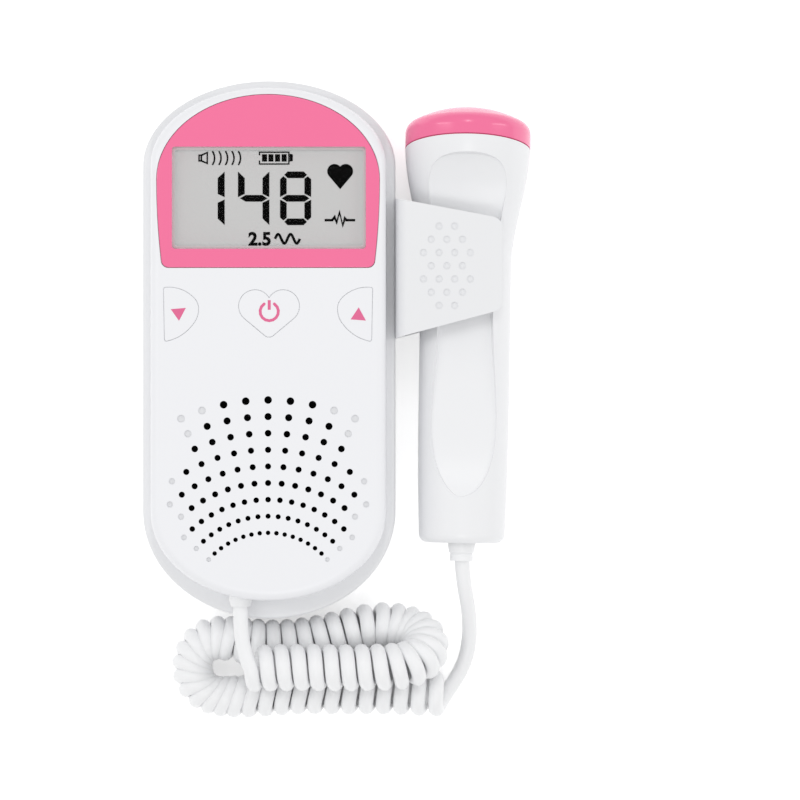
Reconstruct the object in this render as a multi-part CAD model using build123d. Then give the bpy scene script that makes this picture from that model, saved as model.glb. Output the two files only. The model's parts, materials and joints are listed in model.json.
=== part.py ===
from build123d import *
import math
import os

# A hand-held fetal doppler monitor lying on its back, with its probe in the side holder.
# Millimetres. X to the probe's side, Y towards the display end, Z out of the display face.
# The origin is the middle of the monitor's flat back.

# ---- driving dimensions -------------------------------------------------------------------

# Monitor housing
HALF_WIDTH = 31.75
STRAIGHT_SIDE = 86.7
TOP_RISE = 21.5
BOTTOM_RISE = 27.0
UNIT_DEPTH = 30.0
PARTING_Z = 18.0
WALL = 2.0
BACK_EDGE_RADIUS = 6.5
RIM_EDGE_RADIUS = 0.9
RIM_FLANGE = 2.5

# Front lid, drawn in from the rim
LID_SIDE_INSET = 2.35
LID_TOP_INSET = 2.2
LID_BOTTOM_INSET = 4.9
LID_WALL = 2.2
LID_EDGE_RADIUS = 2.4
TONGUE_DEPTH = 2.0
TONGUE_CLEARANCE = 0.15

# Display
BEZEL_BORDER = 1.6
BEZEL_TAPER = 1.4
BEZEL_SPRING_Y = 42.4
BEZEL_RISE = 21.2
BEZEL_BOTTOM_Y = 20.45
BEZEL_CORNER_RADIUS = 1.9
BEZEL_THICKNESS = 1.1
WINDOW_BORDER = 2.2
WINDOW_HEIGHT = 25.5
WINDOW_CENTRE = (0.2, 37.85)
WINDOW_CORNER_RADIUS = 0.8
LENS_THICKNESS = 0.8
LENS_LEDGE = 0.7
GLASS_MARGIN = 0.6
GLASS_THICKNESS = 2.0
LCD_FRAME_WALL = 1.6
LCD_DIFFUSER = 1.0
ZEBRA_WIDTH = 2.2

# Buttons
BUTTON_GAP = 0.12
BUTTON_PROUD = 0.15
BUTTON_TRAVEL = 0.6
BUTTON_FLANGE = 0.7
BUTTON_FLANGE_THICKNESS = 0.8
BUTTON_FLANGE_GAP = 0.3
BUTTON_EDGE_RADIUS = 0.25
HEART_CENTRE = (0.25, 10.8)
HEART_LOBE_RADIUS = 4.05
HEART_LOBE_OFFSET = 3.5
HEART_TIP_RADIUS = 1.6
HEART_TIP_DROP = 6.1
VOLUME_SIDE_DISTANCE = 9.55
VOLUME_Y = 8.7
VOLUME_CORNER_RADIUS = 0.5
# Outline of a volume button about its centre: outer edge, shoulders and inner tip
VOLUME_OUTER_TOP = (-3.85, 6.7)
VOLUME_OUTER_LOW = (-3.6, -6.7)
VOLUME_TOP_SHOULDER = (3.7, 4.2)
VOLUME_LOW_SHOULDER = (3.9, -1.8)
VOLUME_TIP = (4.85, 1.4)
STEM_RADIUS = 1.7
PLUNGER_RADIUS = 1.6
PLUNGER_LENGTH = 1.8
SWITCH_SIZE = 6.0
SWITCH_HEIGHT = 3.5
SWITCH_BORE_DEPTH = 2.2
SLIDING_GAP = 0.1

# Speaker grille: a fan of holes on arcs about one centre below the monitor
GRILLE_CENTRE_Y = -65.5
GRILLE_OUTER_ARC = 52.9
GRILLE_ROW_STEP = 4.14
GRILLE_HOLE_STEP = 6.05
GRILLE_HOLE_COUNTS = (5, 7, 9, 11, 13, 13, 15, 15, 15)
GRILLE_RADII = (0.96, 0.90, 0.84, 0.78, 0.77, 0.77, 0.71, 0.65, 0.58)
GRILLE_DIMPLE_COUNTS = (2, 1, 0, 1, 1, 1, 1, 1, 1)
DIMPLE_DEPTH = 0.5

# Speaker
SPEAKER_RADIUS = 20.0
SPEAKER_Y = -31.0
SPEAKER_FLANGE_WIDTH = 2.6
GASKET_THICKNESS = 0.6
FLANGE_THICKNESS = 1.0
BASKET_DEPTH = 4.4
MAGNET_RADIUS = 8.0
MAGNET_THICKNESS = 3.4
CONE_THICKNESS = 0.5
DUST_CAP_RADIUS = 5.0
CONE_DEPTH = 3.0
COIL_HOLE_RADIUS = 3.6
BASKET_WALL = 0.7
BASKET_WINDOWS = 4
BASKET_WINDOW = 4.0
SPEAKER_RING_WALL = 1.0
SPEAKER_RING_GAP = 0.3

# Main board
BOARD_THICKNESS = 1.6
BOARD_Z = 20.6
BOARD_BOTTOM_Y = -8.0
BOARD_CLEARANCE = 0.6
BOARD_SCREW_PLACES = ((-13.0, -4.0), (13.0, -4.0), (0.0, 59.0))
BOARD_BOSS_RADIUS = 2.4
BOARD_SCREW_RADIUS = 0.95
BOARD_SCREW_HEAD_RADIUS = 1.9
BOARD_SCREW_HEAD_HEIGHT = 1.2
BOARD_SCREW_LENGTH = 4.0
# Parts under the board: centre, width, length and height; then round ones by radius
CHIPS = (
    (4.0, 30.0, 10.0, 10.0, 1.4),
    (-6.0, 41.0, 6.0, 4.0, 1.2),
    (14.0, 16.0, 5.0, 6.0, 1.6),
    (12.0, 38.0, 4.6, 11.0, 2.2),
)
CAPACITORS = ((-12.0, 14.0, 1.6, 2.2), (-7.5, 14.0, 1.6, 2.2), (3.0, 48.0, 2.0, 2.2))

# Case screws, driven from the back
CASE_SCREW_PLACES = ((-14.0, 56.0), (14.0, 56.0), (-24.6, -31.0), (24.6, -31.0))
CASE_POST_RADIUS = 3.5
CASE_WELL_RADIUS = 2.3
CASE_SEAT_Z = 12.0
CASE_SCREW_RADIUS = 0.95
CASE_SCREW_HEAD_RADIUS = 2.0
CASE_SCREW_HEAD_HEIGHT = 1.7
CASE_SCREW_LENGTH = 11.0
PILOT_SPARE = 1.0
CASE_BOSS_RADIUS = 2.8
SCREW_HOLE_CLEARANCE = 0.3
PILOT_CLEARANCE = 0.05
SLOT_WIDTH = 0.6
SLOT_DEPTH = 0.7

# Battery bay: two AA cells side by side
CELL_RADIUS = 7.25
CELL_LENGTH = 49.2
CELL_NUB_RADIUS = 2.75
CELL_NUB_LENGTH = 1.3
CELL_GAP = 0.4
BAY_CLEARANCE = 0.3
BAY_CENTRE_Y = -23.0
BAY_WALL = 2.2
CONTACT_ROOM = 3.0
CONTACT_PLATE = 0.5
CONTACT_WIDTH = 9.0

# Battery door
DOOR_THICKNESS = 1.8
DOOR_LEDGE = 1.0
DOOR_GAP = 0.2
DOOR_CORNER_RADIUS = 0.6
HOOK_WIDTH = 2.4
HOOK_THICKNESS = 0.9
HOOK_LEDGE = 0.7
HOOK_GAP = 0.3
HOOK_REACH = 1.8
HOOK_OFFSETS = (-13.5, 0.0, 13.5)
PRONG_WIDTH = 4.0
PRONG_THICKNESS = 1.0
PRONG_HEIGHT = 3.0
PRONG_GAP = 0.35
GRIP_LINES = 4
GRIP_PITCH = 1.6
GRIP_WIDTH = 12.0
GRIP_DEPTH = 0.4

# Headphone jack in the left side
JACK_BORE_RADIUS = 1.8
JACK_BORE_DEPTH = 12.0
JACK_COLLAR_RADIUS = 2.9
JACK_BODY_WIDTH = 7.0
JACK_BODY_LENGTH = 11.8
JACK_BODY_DROP = 3.3
JACK_Y = 28.0
JACK_Z = 14.2
JACK_RECESS = 0.4
JACK_GAP = 0.2
JACK_HOLE_REACH = 5.5

# Probe holder: an open channel on the monitor's right side
HOLDER_REACH = 27.0
HOLDER_WEB = 2.25
HOLDER_LEAF = 2.2
HOLDER_OUTER_RADIUS = 4.5
HOLDER_PROBE_GAP = 0.45
HOLDER_INNER_RADIUS = 3.0
HOLDER_TOP_ROOT_Y = 37.8
HOLDER_TOP_TIP_Y = 32.7
HOLDER_BOTTOM_ROOT_Y = 2.9
HOLDER_BOTTOM_TIP_Y = 10.1
HOLDER_TIP_RADIUS = 3.4
HOLDER_LIP_RADIUS = 0.9
HOLDER_DIMPLE_RADIUS = 0.9
HOLDER_DIMPLE_DEPTH = 0.45
HOLDER_DIMPLE_COUNTS = (2, 3, 4, 3, 4, 3, 2)
HOLDER_DIMPLE_PITCH_X = 3.9
HOLDER_DIMPLE_PITCH_Y = 3.3
HOLDER_DIMPLE_SIDE = 10.6
HOLDER_DIMPLE_Y = 20.9
LUG_PLACES_Y = (11.0, 31.0)
LUG_LENGTH = 6.0
LUG_HEIGHT = 3.0
LUG_Z = 11.5
LUG_HEAD = 1.2
LUG_HOOK = 1.2
LUG_GAP = 0.15

# Probe, drawn about its own axis: local Y along the handle, zero at the holder's middle
PROBE_SIDE_ROOM = 4.1
PROBE_Y = 20.9
PROBE_Z = 16.1
PROBE_LEAN = 0.9
PROBE_WALL = 1.9
HEAD_RADIUS = 15.75
HANDLE_HALF_WIDTH = 11.4
HANDLE_HALF_THICKNESS = 10.2
PROBE_BOTTOM = -69.4
PROBE_END_RADIUS = 2.2
PROBE_END_THINNING = 0.65
PROBE_TAPER_START = -34.0
# Where the handle widens and thickens into the head: start and end along the handle
WIDTH_FLARE = (0.0, 30.0)
THICKNESS_FLARE = (14.0, 34.0)
PROBE_TOP = 46.0
PROBE_SECTIONS = 21
CAP_TILT = 13.2
CAP_JOINT_Y = 29.2
CAP_HEIGHT = 10.3
CAP_DOME_RADIUS = 29.0
CAP_EDGE_RADIUS = 3.0
CAP_CAVITY_RADIUS = 11.0
CAP_FLOOR = 6.7
CAP_SEAM_WIDTH = 0.3
CAP_SEAM_DEPTH = 0.7
CAP_SPIGOT = 2.0
CAP_SPIGOT_WALL = 1.2
CAP_SPIGOT_GAP = 0.1
CRYSTAL_RADIUS = 9.6
CRYSTAL_THICKNESS = 1.0
CRYSTAL_SPLIT = 1.2
BACKING_THICKNESS = 3.0
# Finger dish in the probe's front: distance along the handle and half width
DISH_EDGE = (
    (-57.7, 0.0),
    (-55.6, 3.9),
    (-49.8, 6.9),
    (-41.0, 8.15),
    (-30.0, 7.85),
    (-13.0, 6.9),
    (4.0, 7.5),
    (14.0, 8.9),
    (21.0, 9.9),
    (25.6, 8.6),
    (28.0, 4.4),
    (28.5, 0.0),
)
# Depth line of the dish: distance along the handle and height above the probe's axis
DISH_FLOOR = (
    (-64.0, 12.6),
    (-57.0, 9.4),
    (-50.0, 7.5),
    (-38.0, 6.6),
    (-14.0, 6.4),
    (6.0, 6.5),
    (14.0, 6.9),
    (20.0, 8.3),
    (25.0, 10.8),
    (30.0, 15.2),
)
# Sideways lean of the dish's wall for each unit of height, and the heights it is drawn between
DISH_SLOPE = 0.35
DISH_LOW_Z = 4.0
DISH_HIGH_Z = 17.0
PROBE_SCREW_PLACES = (-60.0, 18.0)
PROBE_BOSS_RADIUS = 3.2
PROBE_SCREW_RADIUS = 0.95
PROBE_SCREW_HEAD_RADIUS = 1.9
PROBE_SCREW_HEAD_HEIGHT = 1.5
PROBE_SCREW_WELL = 2.2
PROBE_SCREW_SEAT = 3.0
PROBE_SCREW_LENGTH = 6.0
PROBE_PILOT_SPARE = 0.6

# Strain relief at the probe's lower end
RELIEF_TOP_RADIUS = 3.85
RELIEF_END_RADIUS = 2.9
RELIEF_LENGTH = 4.6
RELIEF_FLANGE_RADIUS = 5.4
RELIEF_FLANGE = 1.5
RELIEF_HOLE_GAP = 0.1
RELIEF_GROOVE = 0.4

# Curly cord
WIRE_DIAMETER = 3.8
COIL_DIAMETER = 12.0
EXIT_X = -7.1
EXIT_Z = 21.2
GROMMET_RADIUS = 2.9
GROMMET_TIP_RADIUS = 2.4
GROMMET_TIP_Y = -64.4
GROMMET_FLANGE_RADIUS = 3.6
GROMMET_FLANGE_Y = -58.7
GROMMET_FLANGE = 1.2
GROMMET_GAP = 0.1
COIL_Z = COIL_DIAMETER / 2
WIRE_Z = WIRE_DIAMETER / 2
UNIT_LEAD_ROUTE = (
    (EXIT_X, GROMMET_TIP_Y, EXIT_Z),
    (EXIT_X, -70.4, EXIT_Z),
    (-5.9, -76.9, 21.1),
    (-2.9, -82.4, 20.3),
)
COIL_ROUTE = (
    (-4.5, -80.1, 16.7),
    (6.5, -79.8, 16.7),
    (19.3, -80.0, 16.7),
    (34.7, -79.7, 16.6),
    (39.2, -77.1, 13.4),
    (39.4, -73.0, 9.1),
    (35.3, -70.1, COIL_Z),
    (26.8, -69.4, COIL_Z),
    (17.4, -71.9, COIL_Z),
    (8.0, -73.9, COIL_Z),
    (-2.4, -74.3, COIL_Z),
    (-13.2, -72.4, COIL_Z),
    (-17.9, -74.7, COIL_Z),
    (-19.8, -79.5, COIL_Z),
    (-18.5, -84.6, COIL_Z),
    (-14.0, -87.5, COIL_Z),
    (-5.2, -87.7, COIL_Z),
    (6.0, -86.6, COIL_Z),
    (18.5, -86.6, COIL_Z),
    (31.6, -86.4, COIL_Z),
    (44.2, -87.0, COIL_Z),
)
PROBE_LEAD_ROUTE = (
    (46.2, -87.2, WIRE_Z),
    (49.2, -80.3, WIRE_Z),
    (50.7, -72.8, 3.0),
    (50.3, -65.4, 8.5),
    (48.8, -58.4, 14.5),
)
PROBE_LEAD_TOP_Y = -51.4

# ---- derived places -----------------------------------------------------------------------

UNIT_LENGTH = STRAIGHT_SIDE + TOP_RISE + BOTTOM_RISE
LID_END_Y = LID_BOTTOM_INSET - UNIT_LENGTH / 2
BOTTOM_SPRING_Y = BOTTOM_RISE - UNIT_LENGTH / 2
TOP_SPRING_Y = BOTTOM_SPRING_Y + STRAIGHT_SIDE
FACE_BACK_Z = UNIT_DEPTH - WALL
BOARD_TOP_Z = BOARD_Z + BOARD_THICKNESS
STEM_LOW_Z = BOARD_TOP_Z + SWITCH_HEIGHT + BUTTON_TRAVEL + SLIDING_GAP
LID_INSETS = (LID_SIDE_INSET, LID_TOP_INSET, LID_BOTTOM_INSET)
CELL_X = CELL_RADIUS + CELL_GAP / 2
CELL_Z = DOOR_THICKNESS + BAY_CLEARANCE + CELL_RADIUS
BAY_HALF_WIDTH = CELL_X + CELL_RADIUS + BAY_CLEARANCE
BAY_LENGTH = CELL_LENGTH + CELL_NUB_LENGTH + 2 * CONTACT_ROOM
BAY_TOP_Z = CELL_Z + CELL_RADIUS + BAY_CLEARANCE
DOOR_HALF_WIDTH = BAY_HALF_WIDTH + DOOR_LEDGE
DOOR_LENGTH = BAY_LENGTH + 2 * DOOR_LEDGE
DOOR_LOW_Y = BAY_CENTRE_Y - DOOR_LENGTH / 2
DOOR_HIGH_Y = BAY_CENTRE_Y + DOOR_LENGTH / 2
BEZEL_HALF_WIDTH = HALF_WIDTH - LID_SIDE_INSET - BEZEL_BORDER
BEZEL_LOWER_HALF_WIDTH = BEZEL_HALF_WIDTH - BEZEL_TAPER
WINDOW_WIDTH = 2 * (BEZEL_LOWER_HALF_WIDTH - WINDOW_BORDER)
VOLUME_CENTRE = (VOLUME_SIDE_DISTANCE - HALF_WIDTH, VOLUME_Y)
HOLDER_INNER_X = HALF_WIDTH + HOLDER_WEB
HOLDER_DIMPLE_X = HOLDER_INNER_X + HOLDER_DIMPLE_SIDE
HOLDER_TIP_X = HALF_WIDTH + HOLDER_REACH
CHANNEL_HALF = HANDLE_HALF_THICKNESS + HOLDER_PROBE_GAP
HOLDER_HALF = CHANNEL_HALF + HOLDER_LEAF
PROBE_X = HOLDER_INNER_X + PROBE_SIDE_ROOM + HANDLE_HALF_WIDTH
PROBE_LEAD_TOP_X = PROBE_X + (PROBE_LEAD_TOP_Y - PROBE_Y) * math.tan(math.radians(PROBE_LEAN))
PROBE_LEAD_TOP = (PROBE_LEAD_TOP_X, PROBE_LEAD_TOP_Y, PROBE_Z)
PROBE_PLACE = Pos(PROBE_X, PROBE_Y, PROBE_Z) * Rot(0, 0, -PROBE_LEAN)
CAP_FRAME = Pos(0, CAP_JOINT_Y, 0) * Rot(-CAP_TILT, 0, 0)
ALONG_Y = Rot(-90, 0, 0)
CUT_OVERRUN = 1.0


# ---- shared shapes ------------------------------------------------------------------------


def grown(insets, extra):
    """Insets with the same amount added all round."""
    return tuple(inset + extra for inset in insets)


def rim_outline(insets=(0.0, 0.0, 0.0)):
    """The monitor's outline, drawn in at the sides, top and bottom."""
    side, top, bottom = insets
    half = HALF_WIDTH - side
    with BuildSketch() as sketch:
        with BuildLine():
            EllipticalCenterArc((0, BOTTOM_SPRING_Y), half, BOTTOM_RISE - bottom, 180, arc_size=180)
            Line((half, BOTTOM_SPRING_Y), (half, TOP_SPRING_Y))
            EllipticalCenterArc((0, TOP_SPRING_Y), half, TOP_RISE - top, 0, arc_size=180)
            Line((-half, TOP_SPRING_Y), (-half, BOTTOM_SPRING_Y))
        make_face()
    return sketch.sketch


def slab(face, low, high):
    """A flat outline raised from one height to another."""
    return Pos(0, 0, low) * extrude(face, high - low)


def column(place, radius, low, high):
    """An upright round bar."""
    centre = Pos(place[0], place[1], (low + high) / 2)
    return centre * Cylinder(radius, high - low)


def block(low, high):
    """A box between two corners."""
    size = [b - a for a, b in zip(low, high)]
    middle = [(a + b) / 2 for a, b in zip(low, high)]
    return Pos(*middle) * Box(*size)


def bar_along_y(place, radius, low, high):
    """A round bar along Y through a place given as X and Z."""
    return Pos(place[0], (low + high) / 2, place[1]) * ALONG_Y * Cylinder(radius, high - low)


def turned(profile):
    """A body of revolution about Z from a profile of radius and height pairs."""
    face = make_face(Polyline(*[(r, 0, z) for r, z in profile], close=True))
    return revolve(face, Axis.Z)


def level_edges(shape, height):
    """The edges that lie flat at one height."""
    flat = [e for e in shape.edges() if abs(e.bounding_box().min.Z - height) < 0.01]
    return [e for e in flat if abs(e.bounding_box().max.Z - height) < 0.01]


def screw(place, head_radius, head_height, radius, seat, length):
    """A cross-slotted screw driven upwards, its head under the seat."""
    x, y = place
    body = column(place, head_radius, seat - head_height, seat)
    body += column(place, radius, seat, seat + length)
    low = seat - head_height
    reach = head_radius * 0.7
    half = SLOT_WIDTH / 2
    body -= block((x - reach, y - half, low - CUT_OVERRUN), (x + reach, y + half, low + SLOT_DEPTH))
    body -= block((x - half, y - reach, low - CUT_OVERRUN), (x + half, y + reach, low + SLOT_DEPTH))
    return body


def tube(route, diameter):
    """A plain cord: straight runs joined by the largest arcs that the runs allow."""
    points = [Vector(*p) for p in route]
    runs = [b - a for a, b in zip(points, points[1:])]
    radii = []
    for before, after in zip(runs, runs[1:]):
        turn = before.get_angle(after)
        shorter = min(before.length, after.length)
        radii.append(0.45 * shorter / math.tan(math.radians(turn) / 2))
    path = FilletPolyline(*points, radius=radii)
    section = Plane(origin=path @ 0, z_dir=path % 0) * Circle(diameter / 2)
    solid = sweep(section, path)
    print("  radii", [round(r, 1) for r in radii])
    print("  length", round(path.length, 1), "volume ratio", round(solid.volume / path.length / section.area, 4))
    return solid


# ---- outlines of the display and the buttons ----------------------------------------------


def bezel_outline(grow=0.0):
    """The display bezel: a half ellipse on gently tapering sides."""
    half = BEZEL_HALF_WIDTH + grow
    low_half = BEZEL_LOWER_HALF_WIDTH + grow
    low = BEZEL_BOTTOM_Y - grow
    with BuildSketch() as sketch:
        with BuildLine():
            EllipticalCenterArc((0, BEZEL_SPRING_Y), half, BEZEL_RISE + grow, 0, arc_size=180)
            TangentArc((-half, BEZEL_SPRING_Y), (-low_half, low), tangent=(0, -1))
            Line((-low_half, low), (low_half, low))
            TangentArc((half, BEZEL_SPRING_Y), (low_half, low), tangent=(0, -1))
        make_face()
        corners = sketch.vertices().sort_by(Axis.Y)[:2]
        fillet(corners, BEZEL_CORNER_RADIUS)
    return sketch.sketch


def window_outline(grow=0.0):
    """The display window."""
    face = RectangleRounded(WINDOW_WIDTH + 2 * grow, WINDOW_HEIGHT + 2 * grow, WINDOW_CORNER_RADIUS)
    return Pos(*WINDOW_CENTRE) * face


def heart_outline(grow=0.0):
    """The power button: two round lobes drawn down to a rounded tip."""
    cx, cy = HEART_CENTRE
    tip = (cx, cy - HEART_TIP_DROP)
    left = (cx - HEART_LOBE_OFFSET, cy)
    right = (cx + HEART_LOBE_OFFSET, cy)
    face = make_face(Polyline(left, right, tip, close=True))
    for lobe in (left, right):
        circles = Pos(*lobe) * Circle(HEART_LOBE_RADIUS + grow)
        circles += Pos(*tip) * Circle(HEART_TIP_RADIUS + grow)
        face += make_hull(circles.edges())
    return face.clean()


def volume_outline(side, grow=0.0):
    """A volume button, straight on its outer edge and bowed inwards; side is -1 or 1."""
    cx, cy = VOLUME_CENTRE
    spots = (VOLUME_OUTER_TOP, VOLUME_TOP_SHOULDER, VOLUME_TIP, VOLUME_LOW_SHOULDER, VOLUME_OUTER_LOW)
    outer_top, shoulder, tip, lower_shoulder, outer_low = [(cx + x, cy + y) for x, y in spots]
    with BuildSketch() as sketch:
        with BuildLine():
            above = TangentArc(tip, shoulder, tangent=(0, 1))
            TangentArc(above @ 1, outer_top, tangent=above % 1)
            below = TangentArc(tip, lower_shoulder, tangent=(0, -1))
            TangentArc(below @ 1, outer_low, tangent=below % 1)
            Line(outer_top, outer_low)
        make_face()
        fillet(sketch.vertices().sort_by(Axis.X)[:2], VOLUME_CORNER_RADIUS)
        if grow:
            offset(amount=grow, kind=Kind.ARC)
    face = sketch.sketch
    if side > 0:
        face = mirror(face, Plane.YZ)
    return face


# ---- monitor housing ----------------------------------------------------------------------


def grille_cutters():
    """Sound holes and blind dimples on arcs about a centre below the monitor."""
    cutters = []
    middle = GRILLE_CENTRE_Y
    rows = zip(GRILLE_HOLE_COUNTS, GRILLE_RADII, GRILLE_DIMPLE_COUNTS)
    for row, (holes, radius, dimples) in enumerate(rows):
        arc = GRILLE_OUTER_ARC - row * GRILLE_ROW_STEP
        last = (holes - 1) // 2
        for k in range(-last - dimples, last + dimples + 1):
            angle = math.radians(k * GRILLE_HOLE_STEP)
            place = (arc * math.sin(angle), middle + arc * math.cos(angle))
            low = FACE_BACK_Z - CUT_OVERRUN
            if abs(k) > last:
                low = UNIT_DEPTH - DIMPLE_DEPTH
            cutters.append(column(place, radius, low, UNIT_DEPTH + CUT_OVERRUN))
    return cutters


def front_shell():
    """Raised lid with the display opening, button holes and speaker grille."""
    lid = slab(rim_outline(LID_INSETS), PARTING_Z, UNIT_DEPTH)
    lid = fillet(level_edges(lid, UNIT_DEPTH), LID_EDGE_RADIUS)
    tongue = grown(LID_INSETS, LID_WALL / 2)
    lid += slab(rim_outline(tongue), PARTING_Z - TONGUE_DEPTH, PARTING_Z)
    inner = rim_outline(grown(LID_INSETS, LID_WALL))
    lid -= slab(inner, PARTING_Z - TONGUE_DEPTH, FACE_BACK_Z)
    lid += speaker_ring()
    for place in CASE_SCREW_PLACES:
        pilot_top = CASE_SEAT_Z + CASE_SCREW_LENGTH + PILOT_SPARE
        lid += column(place, CASE_BOSS_RADIUS, PARTING_Z, FACE_BACK_Z)
        lid -= column(place, CASE_SCREW_RADIUS + PILOT_CLEARANCE, PARTING_Z, pilot_top)
    for place in BOARD_SCREW_PLACES:
        pilot_top = BOARD_Z + BOARD_SCREW_LENGTH + PILOT_SPARE
        lid += column(place, BOARD_BOSS_RADIUS, BOARD_TOP_Z, FACE_BACK_Z)
        lid -= column(place, BOARD_SCREW_RADIUS + PILOT_CLEARANCE, BOARD_TOP_Z, pilot_top)
    top = UNIT_DEPTH + CUT_OVERRUN
    lid -= slab(bezel_outline(BUTTON_GAP), UNIT_DEPTH - BEZEL_THICKNESS, top)
    lid -= slab(window_outline(-LENS_LEDGE), FACE_BACK_Z - CUT_OVERRUN, top)
    for face in (heart_outline(BUTTON_GAP), volume_outline(-1, BUTTON_GAP), volume_outline(1, BUTTON_GAP)):
        lid -= slab(face, FACE_BACK_Z - CUT_OVERRUN, top)
    lid -= bar_along_y((EXIT_X, EXIT_Z), GROMMET_RADIUS + GROMMET_GAP, GROMMET_TIP_Y, GROMMET_FLANGE_Y)
    lid -= jack_hole()
    return lid - grille_cutters()


def speaker_ring():
    """Rib inside the lid that centres the speaker."""
    inner = SPEAKER_RADIUS + SPEAKER_RING_GAP
    low = FACE_BACK_Z - GASKET_THICKNESS - FLANGE_THICKNESS - 1.5
    centre = (0, SPEAKER_Y)
    ring = column(centre, inner + SPEAKER_RING_WALL, low, FACE_BACK_Z)
    return ring - column(centre, inner, low, FACE_BACK_Z)


def back_shell():
    """Rounded back with its rim flange, battery bay, screw posts and side openings."""
    body = slab(rim_outline(), 0, PARTING_Z)
    body = fillet(level_edges(body, 0), BACK_EDGE_RADIUS)
    body = fillet(level_edges(body, PARTING_Z), RIM_EDGE_RADIUS)
    hollow = slab(rim_outline(grown((0, 0, 0), WALL)), WALL, PARTING_Z - RIM_FLANGE)
    body -= fillet(level_edges(hollow, WALL), BACK_EDGE_RADIUS - WALL)
    seat = grown(LID_INSETS, LID_WALL / 2 - TONGUE_CLEARANCE)
    body -= slab(rim_outline(seat), PARTING_Z - RIM_FLANGE, PARTING_Z)
    body += bay_tub()
    for place in CASE_SCREW_PLACES:
        body += column(place, CASE_POST_RADIUS, WALL / 2, PARTING_Z)
    body -= bay_hollow() + tongue_room()
    for place in CASE_SCREW_PLACES:
        body -= column(place, CASE_WELL_RADIUS, -CUT_OVERRUN, CASE_SEAT_Z)
        body -= column(place, CASE_SCREW_RADIUS + SCREW_HOLE_CLEARANCE, CASE_SEAT_Z, PARTING_Z + CUT_OVERRUN)
    body -= jack_hole()
    for y in LUG_PLACES_Y:
        body -= lug_stem(y, LUG_GAP, HALF_WIDTH + CUT_OVERRUN)
    return body


def tongue_room():
    """Groove that keeps the screw posts clear of the lid's tongue."""
    outer = rim_outline(grown(LID_INSETS, LID_WALL / 2 - TONGUE_CLEARANCE))
    inner = rim_outline(grown(LID_INSETS, LID_WALL + TONGUE_CLEARANCE))
    low = PARTING_Z - TONGUE_DEPTH - TONGUE_CLEARANCE
    return slab(outer, low, PARTING_Z) - slab(inner, low, PARTING_Z)


def bay_tub():
    """Walls and ceiling of the battery bay."""
    half = BAY_HALF_WIDTH + BAY_WALL
    reach = BAY_LENGTH / 2 + BAY_WALL
    return block((-half, BAY_CENTRE_Y - reach, WALL / 2), (half, BAY_CENTRE_Y + reach, PARTING_Z))


def bay_hollow():
    """Room for the cells, the door's recess and the slots for its hooks."""
    reach = BAY_LENGTH / 2
    low = (-BAY_HALF_WIDTH, BAY_CENTRE_Y - reach, -CUT_OVERRUN)
    hollow = block(low, (BAY_HALF_WIDTH, BAY_CENTRE_Y + reach, BAY_TOP_Z))
    half = DOOR_HALF_WIDTH + DOOR_GAP
    top = DOOR_THICKNESS + DOOR_GAP
    hollow += block((-half, DOOR_LOW_Y - DOOR_GAP, -CUT_OVERRUN), (half, DOOR_HIGH_Y + DOOR_GAP, top))
    slot_low = top + HOOK_LEDGE
    slot_high = slot_low + HOOK_THICKNESS + 2 * HOOK_GAP
    for x in HOOK_OFFSETS:
        half = HOOK_WIDTH / 2 + DOOR_GAP
        corner = (x - half, DOOR_LOW_Y - BAY_WALL, slot_low)
        hollow += block(corner, (x + half, DOOR_LOW_Y + BAY_WALL, slot_high))
    return hollow


def battery_door():
    """Flat door with hinge hooks at one end, a snap prong at the other and grip lines outside."""
    low = (-DOOR_HALF_WIDTH, DOOR_LOW_Y, 0)
    door = block(low, (DOOR_HALF_WIDTH, DOOR_HIGH_Y, DOOR_THICKNESS))
    door = fillet(door.edges().filter_by(Axis.Z), DOOR_CORNER_RADIUS)
    for x in HOOK_OFFSETS:
        door += door_hook(x)
    prong_y = BAY_CENTRE_Y + BAY_LENGTH / 2 - PRONG_GAP
    corner = (-PRONG_WIDTH / 2, prong_y - PRONG_THICKNESS, DOOR_THICKNESS)
    door += block(corner, (PRONG_WIDTH / 2, prong_y, DOOR_THICKNESS + PRONG_HEIGHT))
    for line in range(GRIP_LINES):
        y = DOOR_HIGH_Y - (line + 2) * GRIP_PITCH
        groove = Pos(0, y, 0) * Rot(0, 90, 0) * Cylinder(GRIP_DEPTH, GRIP_WIDTH)
        door -= groove
    return door


def door_hook(x):
    """One L-shaped hook that reaches over the bay's end ledge."""
    half = HOOK_WIDTH / 2
    ledge_y = DOOR_LOW_Y + DOOR_LEDGE
    low = DOOR_THICKNESS + DOOR_GAP + HOOK_LEDGE + HOOK_GAP
    high = low + HOOK_THICKNESS
    riser = block((x - half, ledge_y + DOOR_GAP, DOOR_THICKNESS), (x + half, ledge_y + 1.2, high))
    return riser + block((x - half, ledge_y - HOOK_REACH, low), (x + half, ledge_y + 1.2, high))


def jack_hole():
    """Opening in the left side for the headphone jack's collar."""
    centre = Pos(-HALF_WIDTH, JACK_Y, JACK_Z) * Rot(0, 90, 0)
    return centre * Cylinder(JACK_COLLAR_RADIUS + JACK_GAP, 2 * JACK_HOLE_REACH)


def lug_stem(y, grow, end_x):
    """Stem of a holder lug through the housing's side."""
    x = HALF_WIDTH - WALL - LUG_GAP
    half = LUG_LENGTH / 2 + grow
    rise = LUG_HEIGHT / 2 + grow
    return block((x - grow, y - half, LUG_Z - rise), (end_x, y + half, LUG_Z + rise))


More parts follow.
